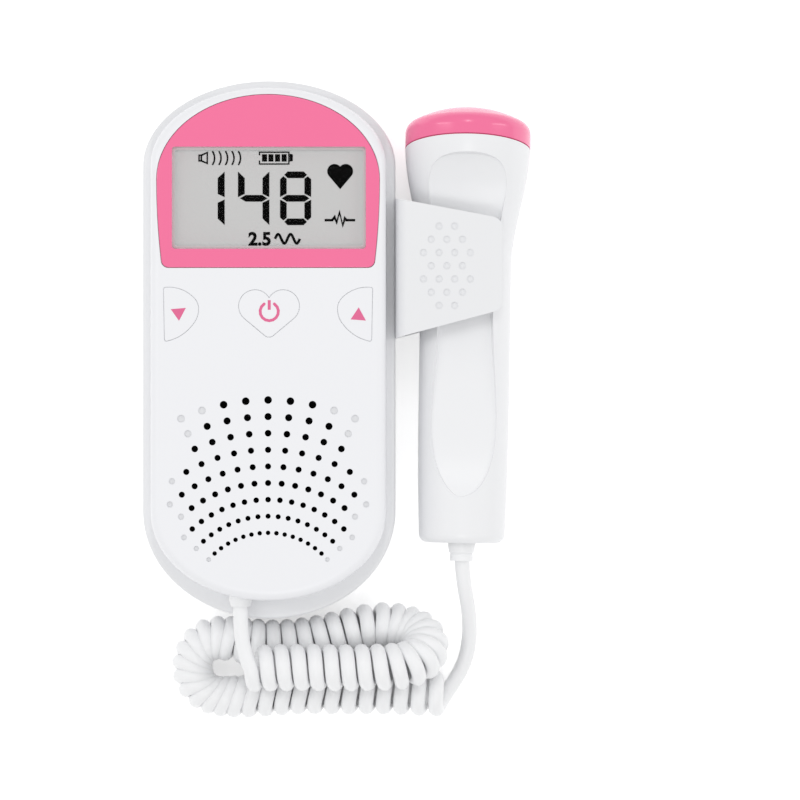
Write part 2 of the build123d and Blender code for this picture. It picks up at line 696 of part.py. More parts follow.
def cord_grommet():
    """Tapered collar that seats in the lid's end wall."""
    face = make_face(
        Polyline(
            (0, GROMMET_FLANGE_Y + GROMMET_FLANGE),
            (GROMMET_FLANGE_RADIUS, GROMMET_FLANGE_Y + GROMMET_FLANGE),
            (GROMMET_FLANGE_RADIUS, GROMMET_FLANGE_Y),
            (GROMMET_RADIUS, GROMMET_FLANGE_Y),
            (GROMMET_RADIUS, LID_END_Y),
            (GROMMET_TIP_RADIUS, GROMMET_TIP_Y),
            (0, GROMMET_TIP_Y),
            close=True,
        )
    )
    return Pos(EXIT_X, 0, EXIT_Z) * revolve(face, Axis.Y)


def case_screws():
    """Four screws from the back into the lid's bosses."""
    head = (CASE_SCREW_HEAD_RADIUS, CASE_SCREW_HEAD_HEIGHT)
    return [screw(p, *head, CASE_SCREW_RADIUS, CASE_SEAT_Z, CASE_SCREW_LENGTH) for p in CASE_SCREW_PLACES]


# ---- display ------------------------------------------------------------------------------


def display_bezel():
    """Thin panel let into the lid, with the window cut out."""
    low = UNIT_DEPTH - BEZEL_THICKNESS
    panel = slab(bezel_outline(), low, UNIT_DEPTH)
    panel = fillet(level_edges(panel, UNIT_DEPTH), BUTTON_EDGE_RADIUS)
    return panel - slab(window_outline(), low - CUT_OVERRUN, UNIT_DEPTH + CUT_OVERRUN)


def display_lens():
    """Clear pane in the bezel's window, resting on the lid's ledge."""
    low = UNIT_DEPTH - BEZEL_THICKNESS
    return slab(window_outline(-JACK_GAP / 2), low, low + LENS_THICKNESS)


def glass_block(inset, low, high):
    """A rectangle of the display's glass size, drawn in and raised."""
    width = WINDOW_WIDTH + 2 * (GLASS_MARGIN - inset)
    height = WINDOW_HEIGHT + 2 * (GLASS_MARGIN - inset)
    return slab(Pos(*WINDOW_CENTRE) * Rectangle(width, height), low, high)


def lcd_glass():
    """Display glass, its lower pane cut short so that the contact edge is bare."""
    return glass_block(0, FACE_BACK_Z - GLASS_THICKNESS, FACE_BACK_Z) - zebra_block(SLIDING_GAP)


def lcd_frame():
    """Carrier between the board and the glass, with its diffuser floor and a slot for the contact strip."""
    top = FACE_BACK_Z - GLASS_THICKNESS
    frame = glass_block(0, BOARD_TOP_Z, top) - glass_block(LCD_FRAME_WALL, BOARD_TOP_Z, top)
    frame += glass_block(LCD_FRAME_WALL / 2, top - LCD_DIFFUSER, top)
    return frame - zebra_block(SLIDING_GAP)


def zebra_block(grow):
    """Room of the contact strip along the glass's lower edge."""
    x, y = WINDOW_CENTRE
    half = WINDOW_WIDTH / 2 - LCD_FRAME_WALL + grow
    low = y - WINDOW_HEIGHT / 2 - GLASS_MARGIN + LCD_FRAME_WALL - grow
    high = low + ZEBRA_WIDTH + 2 * grow
    return block((x - half, low, BOARD_TOP_Z), (x + half, high, FACE_BACK_Z - GLASS_THICKNESS / 2))


def zebra_strip():
    """Elastomer contact strip between the board and the glass."""
    return zebra_block(0)


# ---- board and switches -------------------------------------------------------------------


def main_board():
    """Board under the display and the buttons, notched round the lid's bosses."""
    outline = rim_outline(grown(LID_INSETS, LID_WALL + BOARD_CLEARANCE))
    board = slab(outline, BOARD_Z, BOARD_TOP_Z)
    board -= block((-HALF_WIDTH, -UNIT_LENGTH, 0), (HALF_WIDTH, BOARD_BOTTOM_Y, UNIT_DEPTH))
    for place in CASE_SCREW_PLACES:
        board -= column(place, CASE_BOSS_RADIUS + SCREW_HOLE_CLEARANCE, 0, UNIT_DEPTH)
    for place in BOARD_SCREW_PLACES:
        board -= column(place, BOARD_SCREW_RADIUS + SCREW_HOLE_CLEARANCE, 0, UNIT_DEPTH)
    return board


def board_screws():
    """Three screws that hold the board to the lid."""
    head = (BOARD_SCREW_HEAD_RADIUS, BOARD_SCREW_HEAD_HEIGHT)
    return [screw(p, *head, BOARD_SCREW_RADIUS, BOARD_Z, BOARD_SCREW_LENGTH) for p in BOARD_SCREW_PLACES]


def board_components():
    """Chips, crystal can and capacitors under the board."""
    pieces = [
        block((x - w / 2, y - l / 2, BOARD_Z - h), (x + w / 2, y + l / 2, BOARD_Z)) for x, y, w, l, h in CHIPS
    ]
    pieces += [column((x, y), r, BOARD_Z - h, BOARD_Z) for x, y, r, h in CAPACITORS]
    return pieces


def switch_places():
    """Switch centres under the power, volume-down and volume-up buttons."""
    x, y = VOLUME_CENTRE
    return {"power": (HEART_CENTRE[0], HEART_CENTRE[1] - 1.5), "volume_down": (x, y), "volume_up": (-x, y)}


def tact_switches():
    """Three square switch housings with the bores for their plungers."""
    half = SWITCH_SIZE / 2
    floor = BOARD_TOP_Z + SWITCH_HEIGHT - SWITCH_BORE_DEPTH
    housings = []
    for x, y in switch_places().values():
        housing = block((x - half, y - half, BOARD_TOP_Z), (x + half, y + half, BOARD_TOP_Z + SWITCH_HEIGHT))
        housings.append(housing - column((x, y), PLUNGER_RADIUS + SLIDING_GAP, floor, UNIT_DEPTH))
    return housings


def plunger(name):
    """A switch plunger, standing under its button's stem."""
    return column(switch_places()[name], PLUNGER_RADIUS, STEM_LOW_Z - PLUNGER_LENGTH, STEM_LOW_Z)


def button(outline, flange_outline, name):
    """A cap flush with the lid, its retaining flange and the stem down to the switch."""
    flange_top = FACE_BACK_Z - BUTTON_FLANGE_GAP
    flange_low = flange_top - BUTTON_FLANGE_THICKNESS
    cap = slab(outline, flange_top, UNIT_DEPTH + BUTTON_PROUD)
    cap = fillet(level_edges(cap, UNIT_DEPTH + BUTTON_PROUD), BUTTON_EDGE_RADIUS)
    cap += slab(flange_outline, flange_low, flange_top)
    return cap + column(switch_places()[name], STEM_RADIUS, STEM_LOW_Z, flange_low)


def power_button():
    """Heart-shaped power button."""
    return button(heart_outline(), heart_outline(BUTTON_FLANGE), "power")


def volume_button(side, name):
    """A volume button."""
    return button(volume_outline(side), volume_outline(side, BUTTON_FLANGE), name)


# ---- speaker ------------------------------------------------------------------------------


def at_speaker(shape):
    """Move a turned speaker piece under the grille."""
    return Pos(0, SPEAKER_Y, 0) * shape


def speaker_gasket():
    """Foam ring between the lid and the speaker."""
    inner = SPEAKER_RADIUS - SPEAKER_FLANGE_WIDTH
    top = FACE_BACK_Z
    low = top - GASKET_THICKNESS
    return at_speaker(turned([(inner, low), (SPEAKER_RADIUS, low), (SPEAKER_RADIUS, top), (inner, top)]))


def speaker_frame():
    """Pressed basket: flange, sloping wall with four windows and a flat base."""
    top = FACE_BACK_Z - GASKET_THICKNESS
    under = top - FLANGE_THICKNESS
    base = under - BASKET_DEPTH
    inner = SPEAKER_RADIUS - SPEAKER_FLANGE_WIDTH
    profile = [
        (inner, top),
        (SPEAKER_RADIUS, top),
        (SPEAKER_RADIUS, under),
        (inner, under),
        (MAGNET_RADIUS + 1.0, base),
        (COIL_HOLE_RADIUS, base),
        (COIL_HOLE_RADIUS, base + BASKET_WALL),
        (MAGNET_RADIUS + 0.6, base + BASKET_WALL),
        (inner - BASKET_WALL, under + 0.3),
        (inner - BASKET_WALL, top),
    ]
    frame = turned(profile)
    middle = (MAGNET_RADIUS + 1.0 + inner) / 2
    for k in range(BASKET_WINDOWS):
        turn = Rot(0, 0, 45 + k * 360 / BASKET_WINDOWS)
        window = Box(BASKET_WINDOW, BASKET_WINDOW * 2, BASKET_DEPTH * 2)
        frame -= turn * Pos(middle, 0, base + BASKET_DEPTH / 2) * window
    return at_speaker(frame)


def speaker_cone():
    """Paper cone with its half-roll surround and dust cap."""
    top = FACE_BACK_Z - GASKET_THICKNESS
    rim = SPEAKER_RADIUS - SPEAKER_FLANGE_WIDTH - BASKET_WALL - PILOT_CLEARANCE
    t = CONE_THICKNESS
    neck = top - CONE_DEPTH
    profile = [
        (rim, top),
        (rim - 1.3, top + 0.3),
        (rim - 2.6, top - 0.3),
        (DUST_CAP_RADIUS, neck),
        (DUST_CAP_RADIUS * 0.6, neck + 1.1),
        (0, neck + 1.5),
        (0, neck + 1.5 - t),
        (DUST_CAP_RADIUS * 0.55, neck + 1.1 - t),
        (DUST_CAP_RADIUS, neck - t),
        (rim - 2.5, top - 0.3 - t),
        (rim - 1.3, top + 0.3 - t),
        (rim, top - t),
    ]
    return at_speaker(turned(profile))


def speaker_magnet():
    """Magnet and yoke behind the basket."""
    top = FACE_BACK_Z - GASKET_THICKNESS - FLANGE_THICKNESS - BASKET_DEPTH
    magnet = column((0, SPEAKER_Y), MAGNET_RADIUS, top - MAGNET_THICKNESS, top)
    return chamfer(magnet.edges().filter_by(GeomType.CIRCLE), 0.4)


# ---- power and sound sockets --------------------------------------------------------------


def battery_cells():
    """Two AA cells lying head to tail."""
    cells = []
    for side in (-1, 1):
        place = (side * CELL_X, CELL_Z)
        start = BAY_CENTRE_Y - side * BAY_LENGTH / 2 + side * CONTACT_ROOM
        end = start + side * CELL_LENGTH
        tip = end + side * CELL_NUB_LENGTH
        can = bar_along_y(place, CELL_RADIUS, min(start, end), max(start, end))
        can = fillet(can.edges().filter_by(GeomType.CIRCLE), 0.5)
        cells.append(can + bar_along_y(place, CELL_NUB_RADIUS, min(end, tip), max(end, tip)))
    return cells


def battery_contacts():
    """Four plated contacts on the bay's end walls, each with a bowed leaf towards its cell."""
    pieces = []
    half = CONTACT_WIDTH / 2
    rise = CONTACT_WIDTH / 2 - 0.5
    for side in (-1, 1):
        for end in (-1, 1):
            bow = CONTACT_ROOM - SLIDING_GAP
            leaf = CONTACT_PLATE
            outer = ThreePointArc((0, -rise), (bow, 0), (0, rise))
            inner = ThreePointArc((0, -rise + leaf), (bow - leaf, 0), (0, rise - leaf))
            ends = [Line(outer @ 0, inner @ 0), Line(outer @ 1, inner @ 1)]
            face = make_face([outer, inner] + ends)
            strip = extrude(Plane.YZ * face, CONTACT_WIDTH / 4, both=True)
            plate = block((-half, 0, -half), (half, CONTACT_PLATE, half))
            piece = strip + plate
            turn = Rot(0, 0, 0) if end < 0 else Rot(0, 0, 180)
            place = Pos(side * CELL_X, BAY_CENTRE_Y + end * BAY_LENGTH / 2, CELL_Z)
            pieces.append(place * turn * piece)
    return pieces


def headphone_jack():
    """Jack body under the board, its collar in the left side and its bore facing out."""
    body_x = -(HALF_WIDTH - LID_SIDE_INSET - LID_WALL - BOARD_CLEARANCE)
    half = JACK_BODY_WIDTH / 2
    corner = (body_x, JACK_Y - half, JACK_Z - JACK_BODY_DROP)
    body = block(corner, (body_x + JACK_BODY_LENGTH, JACK_Y + half, BOARD_Z))
    mouth_x = -HALF_WIDTH + JACK_RECESS
    collar = Pos((mouth_x + body_x) / 2, JACK_Y, JACK_Z) * Rot(0, 90, 0)
    body += collar * Cylinder(JACK_COLLAR_RADIUS, body_x - mouth_x)
    bore = Pos(mouth_x + JACK_BORE_DEPTH / 2, JACK_Y, JACK_Z) * Rot(0, 90, 0)
    return body - bore * Cylinder(JACK_BORE_RADIUS, JACK_BORE_DEPTH)


# ---- probe holder -------------------------------------------------------------------------


def channel_profile():
    """Section of the holder: a U open away from the monitor."""
    outer = (
        (HALF_WIDTH, PROBE_Z - HOLDER_HALF),
        (HOLDER_TIP_X, PROBE_Z - HOLDER_HALF),
        (HOLDER_TIP_X, PROBE_Z - CHANNEL_HALF),
        (HOLDER_INNER_X, PROBE_Z - CHANNEL_HALF),
        (HOLDER_INNER_X, PROBE_Z + CHANNEL_HALF),
        (HOLDER_TIP_X, PROBE_Z + CHANNEL_HALF),
        (HOLDER_TIP_X, PROBE_Z + HOLDER_HALF),
        (HALF_WIDTH, PROBE_Z + HOLDER_HALF),
    )
    face = make_face(Polyline(*outer, close=True))
    by_x = face.vertices().sort_by(Axis.X)
    face = fillet(by_x[:2], HOLDER_OUTER_RADIUS)
    inner = [v for v in face.vertices() if abs(v.X - HOLDER_INNER_X) < 0.01]
    face = fillet(inner, HOLDER_INNER_RADIUS)
    tips = [v for v in face.vertices() if abs(v.X - HOLDER_TIP_X) < 0.01]
    return fillet(tips, HOLDER_LIP_RADIUS)


def holder_outline():
    """Front view of the holder: wider at its root, with rounded free corners."""
    corners = (
        (HALF_WIDTH, HOLDER_BOTTOM_ROOT_Y),
        (HOLDER_TIP_X, HOLDER_BOTTOM_TIP_Y),
        (HOLDER_TIP_X, HOLDER_TOP_TIP_Y),
        (HALF_WIDTH, HOLDER_TOP_ROOT_Y),
    )
    face = make_face(Polyline(*corners, close=True))
    return fillet(face.vertices().sort_by(Axis.X)[-2:], HOLDER_TIP_RADIUS)


def probe_holder():
    """Open clip for the probe's handle, with grip dimples and lugs that hook into the housing."""
    length = HOLDER_TOP_ROOT_Y + CUT_OVERRUN
    channel = extrude(Plane.XZ * channel_profile(), -length)
    holder = channel & slab(holder_outline(), 0, UNIT_DEPTH)
    for y in LUG_PLACES_Y:
        holder += lug_stem(y, 0, HALF_WIDTH)
        holder += lug_head(y)
    for row, count in enumerate(HOLDER_DIMPLE_COUNTS):
        for k in range(count):
            x = HOLDER_DIMPLE_X + (k - (count - 1) / 2) * HOLDER_DIMPLE_PITCH_X
            y = HOLDER_DIMPLE_Y + (row - 3) * HOLDER_DIMPLE_PITCH_Y
            top = PROBE_Z + HOLDER_HALF
            holder -= column((x, y), HOLDER_DIMPLE_RADIUS, top - HOLDER_DIMPLE_DEPTH, top + CUT_OVERRUN)
    return holder


def lug_head(y):
    """The hooked end of a lug, behind the housing's side."""
    x = HALF_WIDTH - WALL - LUG_GAP
    low = LUG_Z - LUG_HEIGHT / 2
    high = LUG_Z + LUG_HEIGHT / 2 + LUG_HOOK
    return block((x - LUG_HEAD, y - LUG_LENGTH / 2, low), (x, y + LUG_LENGTH / 2, high))


# ---- probe --------------------------------------------------------------------------------


def eased(value, start, end):
    """Smooth step from 0 at the start to 1 at the end."""
    t = min(max((value - start) / (end - start), 0.0), 1.0)
    return t * t * (3 - 2 * t)


def probe_half_sizes(y):
    """Half width and half thickness of the probe at a distance along it."""
    thinning = max(PROBE_TAPER_START - y, 0.0) / (PROBE_TAPER_START - PROBE_BOTTOM)
    end = PROBE_END_THINNING * thinning**2
    wider = (HEAD_RADIUS - HANDLE_HALF_WIDTH) * eased(y, *WIDTH_FLARE)
    thicker = (HEAD_RADIUS - HANDLE_HALF_THICKNESS) * eased(y, *THICKNESS_FLARE)
    return HANDLE_HALF_WIDTH - end + wider, HANDLE_HALF_THICKNESS - end + thicker


def probe_form(inset, start):
    """The probe's rounded body from its lower end upwards, drawn in by a wall."""
    step = (PROBE_TOP - start) / (PROBE_SECTIONS - 1)
    sections = []
    for k in range(PROBE_SECTIONS):
        y = start + k * step
        width, thickness = probe_half_sizes(y)
        plane = Plane(origin=(0, y, 0), x_dir=(1, 0, 0), z_dir=(0, 1, 0))
        sections.append(plane * Ellipse(width - inset, thickness - inset))
    return loft(sections)


def probe_outer():
    """Outer form with its rounded lower end and the finger dish let into the front."""
    form = probe_form(0, PROBE_BOTTOM)
    end = [e for e in form.edges() if e.bounding_box().max.Y < PROBE_BOTTOM + 0.1]
    form = fillet(end, PROBE_END_RADIUS)
    return form - dish(0)


def dish_edge(z, grow):
    """The dish's outline at one height, drawn out by a wall; its wall leans outwards as it rises."""
    right = [(x, y) for y, x in DISH_EDGE]
    points = right + [(-x, y) for x, y in reversed(right[1:-1])]
    moved = []
    for k, (x, y) in enumerate(points):
        before = points[k - 1]
        after = points[(k + 1) % len(points)]
        run = (after[0] - before[0], after[1] - before[1])
        width, thickness = probe_half_sizes(y)
        surface = thickness * math.sqrt(1 - (x / width) ** 2)
        distance = (grow - DISH_SLOPE * (surface - z)) / math.hypot(*run)
        moved.append((x + distance * run[1], y - distance * run[0]))
    return Pos(0, 0, z) * make_face(Spline(*moved, periodic=True))


def dish(grow):
    """Finger dish: a waisted outline with leaning walls, sunk to a gently rising floor."""
    bowl = loft([dish_edge(DISH_LOW_Z, grow), dish_edge(DISH_HIGH_Z, grow)], ruled=True)
    line = Spline(*[(y, z - grow) for y, z in DISH_FLOOR])
    first, last = line @ 0, line @ 1
    top = UNIT_DEPTH + CUT_OVERRUN
    roof = Polyline(first, (first.X, top), (last.X, top), last)
    side = extrude(Plane.YZ * make_face([line] + roof.edges()), HALF_WIDTH, both=True)
    return bowl & side


def beyond_joint():
    """Everything on the far side of the joint between the probe's shells and its cap."""
    reach = UNIT_LENGTH / 2
    return CAP_FRAME * block((-reach, 0, -reach), (reach, reach, reach))


def probe_shell(side):
    """One half of the probe's housing, with its half of the screw posts; side is 1 for the front."""
    outer = probe_outer()
    inner = probe_form(PROBE_WALL, PROBE_BOTTOM + PROBE_WALL) - dish(PROBE_WALL)
    shell = outer - inner
    for y in PROBE_SCREW_PLACES:
        shell += column((0, y), PROBE_BOSS_RADIUS, -UNIT_DEPTH, UNIT_DEPTH) & outer
    reach = UNIT_LENGTH
    if side > 0:
        shell -= block((-reach, -reach, -reach), (reach, reach, 0))
    else:
        shell -= block((-reach, -reach, 0), (reach, reach, reach))
    for y in PROBE_SCREW_PLACES:
        shell -= screw_room((0, y), side)
    hole = RELIEF_TOP_RADIUS + RELIEF_HOLE_GAP
    shell -= bar_along_y((0, 0), hole, PROBE_BOTTOM - CUT_OVERRUN, PROBE_BOTTOM + PROBE_WALL + CUT_OVERRUN)
    return PROBE_PLACE * (shell - beyond_joint())


def screw_room(place, side):
    """Screw well and passage in the back half, pilot hole in the front half."""
    if side > 0:
        top = PROBE_SCREW_LENGTH - PROBE_SCREW_SEAT + PROBE_PILOT_SPARE
        return column(place, PROBE_SCREW_RADIUS + PILOT_CLEARANCE, -CUT_OVERRUN, top)
    well = column(place, PROBE_SCREW_WELL, -UNIT_DEPTH, -PROBE_SCREW_SEAT)
    return well + column(place, PROBE_SCREW_RADIUS + SCREW_HOLE_CLEARANCE, -UNIT_DEPTH, CUT_OVERRUN)


def probe_screws():
    """Two screws that close the probe from the back."""
    head = (PROBE_SCREW_HEAD_RADIUS, PROBE_SCREW_HEAD_HEIGHT)
    seat = -PROBE_SCREW_SEAT
    places = [(0, y) for y in PROBE_SCREW_PLACES]
    return [PROBE_PLACE * screw(p, *head, PROBE_SCREW_RADIUS, seat, PROBE_SCREW_LENGTH) for p in places]


def probe_cap():
    """Domed cap over the transducer face, leaning back from the handle."""
    cap = probe_form(0, PROBE_BOTTOM) & beyond_joint()
    dome = CAP_FRAME * Pos(0, CAP_HEIGHT - CAP_DOME_RADIUS, 0) * Sphere(CAP_DOME_RADIUS)
    cap &= dome
    rim = cap.faces().sort_by(Axis.Y)[-1].edges()
    cap = fillet(rim, CAP_EDGE_RADIUS)
    cap -= CAP_FRAME * bar_along_y((0, 0), CAP_CAVITY_RADIUS, -CUT_OVERRUN, CAP_FLOOR)
    cap -= cap_seam()
    return PROBE_PLACE * (cap + cap_spigot())


def cap_seam():
    """Shallow groove round the cap's lower edge, where it meets the shells."""
    reach = 2 * HEAD_RADIUS
    band = CAP_FRAME * block((-reach, -CUT_OVERRUN, -reach), (reach, CAP_SEAM_WIDTH, reach))
    return band - probe_form(CAP_SEAM_DEPTH, PROBE_BOTTOM)


def cap_spigot():
    """Ring on the cap that enters the shells."""
    gap = PROBE_WALL + CAP_SPIGOT_GAP
    ring = probe_form(gap, PROBE_BOTTOM) - probe_form(gap + CAP_SPIGOT_WALL, PROBE_BOTTOM) - dish(gap)
    reach = 2 * HEAD_RADIUS
    return ring & (CAP_FRAME * block((-reach, -CAP_SPIGOT, -reach), (reach, CUT_OVERRUN, reach)))


def piezo_crystals():
    """Sending and receiving half discs on the cap's inner face."""
    disc = bar_along_y((0, 0), CRYSTAL_RADIUS, CAP_FLOOR - CRYSTAL_THICKNESS, CAP_FLOOR)
    half = CRYSTAL_SPLIT / 2
    halves = []
    for side in (-1, 1):
        edge = side * half
        far = side * HEAD_RADIUS
        keep = block((min(edge, far), 0, -HEAD_RADIUS), (max(edge, far), HEAD_RADIUS, HEAD_RADIUS))
        halves.append(PROBE_PLACE * CAP_FRAME * (disc & keep))
    return halves


def transducer_backing():
    """Damping disc behind the crystals."""
    top = CAP_FLOOR - CRYSTAL_THICKNESS
    disc = bar_along_y((0, 0), CAP_CAVITY_RADIUS - JACK_GAP, top - BACKING_THICKNESS, top)
    return PROBE_PLACE * CAP_FRAME * disc


def probe_strain_relief():
    """Tapered sleeve clamped in the probe's lower end, with one flex groove."""
    inside = PROBE_BOTTOM + PROBE_WALL
    tip = PROBE_BOTTOM - RELIEF_LENGTH
    groove_y = PROBE_BOTTOM - RELIEF_LENGTH * 0.6
    slope = (RELIEF_TOP_RADIUS - RELIEF_END_RADIUS) / (inside - tip)
    at_groove = RELIEF_END_RADIUS + slope * (groove_y - tip)
    face = make_face(
        Polyline(
            (0, inside + RELIEF_FLANGE),
            (RELIEF_FLANGE_RADIUS, inside + RELIEF_FLANGE),
            (RELIEF_FLANGE_RADIUS, inside),
            (RELIEF_TOP_RADIUS, inside),
            (at_groove, groove_y + RELIEF_GROOVE),
            (at_groove - RELIEF_GROOVE, groove_y),
            (at_groove - RELIEF_GROOVE / 2, groove_y - RELIEF_GROOVE),
            (RELIEF_END_RADIUS, tip),
            (0, tip),
            close=True,
        )
    )
    return PROBE_PLACE * revolve(face, Axis.Y)


# ---- cord ---------------------------------------------------------------------------------


def cord_unit_lead():
    """Straight lead from the grommet over the coil's back row and down into its middle row."""
    return tube(UNIT_LEAD_ROUTE, WIRE_DIAMETER)


def cord_coil():
    """Outer shape of the curly length: three rows joined by two bends."""
    return tube(COIL_ROUTE, COIL_DIAMETER)


def cord_probe_lead():
    """Straight lead from the coil's end along the table and up into the strain relief."""
    return tube((*PROBE_LEAD_ROUTE, PROBE_LEAD_TOP), WIRE_DIAMETER)


# ---- all pieces ---------------------------------------------------------------------------

PARTS = {
    "front_shell": front_shell,
    "back_shell": back_shell,
    "battery_door": battery_door,
    "cord_grommet": cord_grommet,
    "case_screws": case_screws,
    "display_bezel": display_bezel,
    "display_lens": display_lens,
    "lcd_glass": lcd_glass,
    "lcd_frame": lcd_frame,
    "zebra_strip": zebra_strip,
    "main_board": main_board,
    "board_screws": board_screws,
    "board_components": board_components,
    "tact_switches": tact_switches,
    "power_plunger": lambda: plunger("power"),
    "volume_down_plunger": lambda: plunger("volume_down"),
    "volume_up_plunger": lambda: plunger("volume_up"),
    "power_button": power_button,
    "volume_down_button": lambda: volume_button(-1, "volume_down"),
    "volume_up_button": lambda: volume_button(1, "volume_up"),
    "speaker_gasket": speaker_gasket,
    "speaker_frame": speaker_frame,
    "speaker_cone": speaker_cone,
    "speaker_magnet": speaker_magnet,
    "battery_cells": battery_cells,
    "battery_contacts": battery_contacts,
    "headphone_jack": headphone_jack,
    "probe_holder": probe_holder,
    "probe_front_shell": lambda: probe_shell(1),
    "probe_back_shell": lambda: probe_shell(-1),
    "probe_screws": probe_screws,
    "probe_cap": probe_cap,
    "piezo_crystals": piezo_crystals,
    "transducer_backing": transducer_backing,
    "probe_strain_relief": probe_strain_relief,
    "cord_unit_lead": cord_unit_lead,
    "cord_coil": cord_coil,
    "cord_probe_lead": cord_probe_lead,
}


def build():
    """Write one STEP file for each piece."""
    os.makedirs("parts", exist_ok=True)
    for name, make in PARTS.items():
        print(name)
        made = make()
        shape = Compound(children=made) if isinstance(made, list) else made
        shape.label = name
        export_step(shape, f"parts/{name}.step")


build()
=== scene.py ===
# %% [markdown]
# # A hand-held fetal heart monitor
# This lesson dresses a finished mechanical model for a picture. The solids come
# in as a fixed frame: every housing, button and screw is already the right size
# and in the right place, so nothing here moves them. What is left for Blender is
# the part that the eye judges: the curly cord, the dark signs on the display, the
# printed signs on the buttons, and a finish for every surface.

import json
import math

import bmesh
import bpy
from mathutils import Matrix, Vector


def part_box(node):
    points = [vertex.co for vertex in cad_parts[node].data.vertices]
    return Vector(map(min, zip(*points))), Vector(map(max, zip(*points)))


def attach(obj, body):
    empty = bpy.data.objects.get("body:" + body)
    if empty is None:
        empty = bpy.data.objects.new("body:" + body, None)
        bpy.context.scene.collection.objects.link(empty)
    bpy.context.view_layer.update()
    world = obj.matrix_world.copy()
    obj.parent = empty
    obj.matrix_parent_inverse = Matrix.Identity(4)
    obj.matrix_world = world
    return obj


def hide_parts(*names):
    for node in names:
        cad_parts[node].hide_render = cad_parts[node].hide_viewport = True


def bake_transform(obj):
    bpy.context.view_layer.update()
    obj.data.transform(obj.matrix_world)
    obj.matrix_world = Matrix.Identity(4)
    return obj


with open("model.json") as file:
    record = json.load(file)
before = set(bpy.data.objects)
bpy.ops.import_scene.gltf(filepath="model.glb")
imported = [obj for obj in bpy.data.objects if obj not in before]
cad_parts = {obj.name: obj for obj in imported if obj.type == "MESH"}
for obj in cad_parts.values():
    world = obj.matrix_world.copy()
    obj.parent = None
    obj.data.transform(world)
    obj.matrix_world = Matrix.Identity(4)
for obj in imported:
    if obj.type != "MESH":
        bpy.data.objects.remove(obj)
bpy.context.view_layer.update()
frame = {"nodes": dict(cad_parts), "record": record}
MM = 0.001

# %% [markdown]
# ## Camera
# The monitor lies on its back and is seen from straight above, so the camera
# looks down the Z axis. A short lens close by would show the sides of the housing
# splayed outwards. A long lens from far away keeps them upright, as in a
# catalogue picture. The frame is 200 mm across at the height of the monitor's
# face.

# %% Camera
VIEW_CENTRE = (32.9 * MM, -12.6 * MM)
FACE_HEIGHT = 26 * MM
CAMERA_RISE = 1.5
FRAME_WIDTH = 0.2
SENSOR = 36.0
CLIP_END = 10


def placed(name, data):
    """An object made of the given data, linked into the scene."""
    thing = bpy.data.objects.new(name, data)
    bpy.context.scene.collection.objects.link(thing)
    return thing


camera = placed("studio_camera", bpy.data.cameras.new("studio_camera"))
camera.data.sensor_width = SENSOR
camera.data.lens = SENSOR * CAMERA_RISE / FRAME_WIDTH
camera.data.clip_end = CLIP_END
camera.location = (*VIEW_CENTRE, FACE_HEIGHT + CAMERA_RISE)
bpy.context.scene.camera = camera
bpy.context.scene.view_settings.view_transform = "Standard"
print("lens", round(camera.data.lens), "mm")

# %% [markdown]
# ## Where the cord runs
# A curly cord is a straight lead, a coil, and another straight lead. Each of the
# three gets its own smooth line, from a few given points. The coil's
# line lies in a heap: one row rests in the valley between two rows that lie on
# the table. The last point of the first lead and the first point of the last
# lead lie inside the coil.

# %% Routes in millimetres
UNIT_LEAD = [(-7.1, -64.4, 21.2), (-7.1, -70.4, 21.2), (-5.9, -76.9, 21.1), (-2.9, -82.4, 20.3)]
COIL_LINE = [
    (-4.5, -80.1, 16.7), (6.5, -79.8, 16.7), (19.3, -80.0, 16.7), (34.7, -79.7, 16.6),
    (39.2, -77.1, 13.4), (39.4, -73.0, 9.1), (35.3, -70.1, 6.0), (26.8, -69.4, 6.0),
    (17.4, -71.9, 6.0), (8.0, -73.9, 6.0), (-2.4, -74.3, 6.0), (-13.2, -72.4, 6.0),
    (-17.9, -74.7, 6.0), (-19.8, -79.5, 6.0), (-18.5, -84.6, 6.0), (-14.0, -87.5, 6.0),
    (-5.2, -87.7, 6.0), (6.0, -86.6, 6.0), (18.5, -86.6, 6.0), (31.6, -86.4, 6.0),
    (44.2, -87.0, 6.0),
]
PROBE_LEAD = [
    (46.2, -87.2, 1.9), (49.2, -80.3, 1.9), (50.7, -72.8, 3.0),
    (50.3, -65.4, 8.5), (48.8, -58.4, 14.5), (48.36, -51.4, 16.1),
]


def metres(route):
    return [Vector(point) * MM for point in route]


print("route points:", len(UNIT_LEAD), len(COIL_LINE), len(PROBE_LEAD))

# %% [markdown]
# ## The coil's line
# A soft cable has no corners. Bezier handles could be set one by one, but a NURBS
# spline of order three needs only its control points, stays close to them and is
# smooth by itself. Blender works out the points of the finished line, and the
# coil is later wound about those.

# %% Coil line
COIL_RESOLUTION = 24


def nurbs_curve(name, points, resolution):
    """A curve object of one open NURBS spline, with its control points in metres."""
    curve = bpy.data.curves.new(name, "CURVE")
    curve.dimensions = "3D"
    spline = curve.splines.new("NURBS")
    spline.points.add(len(points) - 1)
    for place, point in zip(spline.points, points):
        place.co = (*point, 1.0)
    spline.order_u = 3
    spline.use_endpoint_u = True
    spline.resolution_u = resolution
    curve.resolution_u = resolution
    return placed(name, curve)


def worked_out(thing):
    """The mesh that Blender works out for a curve or a text."""
    bpy.context.view_layer.update()
    seen = thing.evaluated_get(bpy.context.evaluated_depsgraph_get())
    return bpy.data.meshes.new_from_object(seen)


def read_line(curve_object):
    """The points that Blender works out along a curve with no bevel."""
    mesh = worked_out(curve_object)
    line = [vertex.co.copy() for vertex in mesh.vertices]
    bpy.data.meshes.remove(mesh)
    return line


def length_of(line):
    return sum((b - a).length for a, b in zip(line, line[1:]))


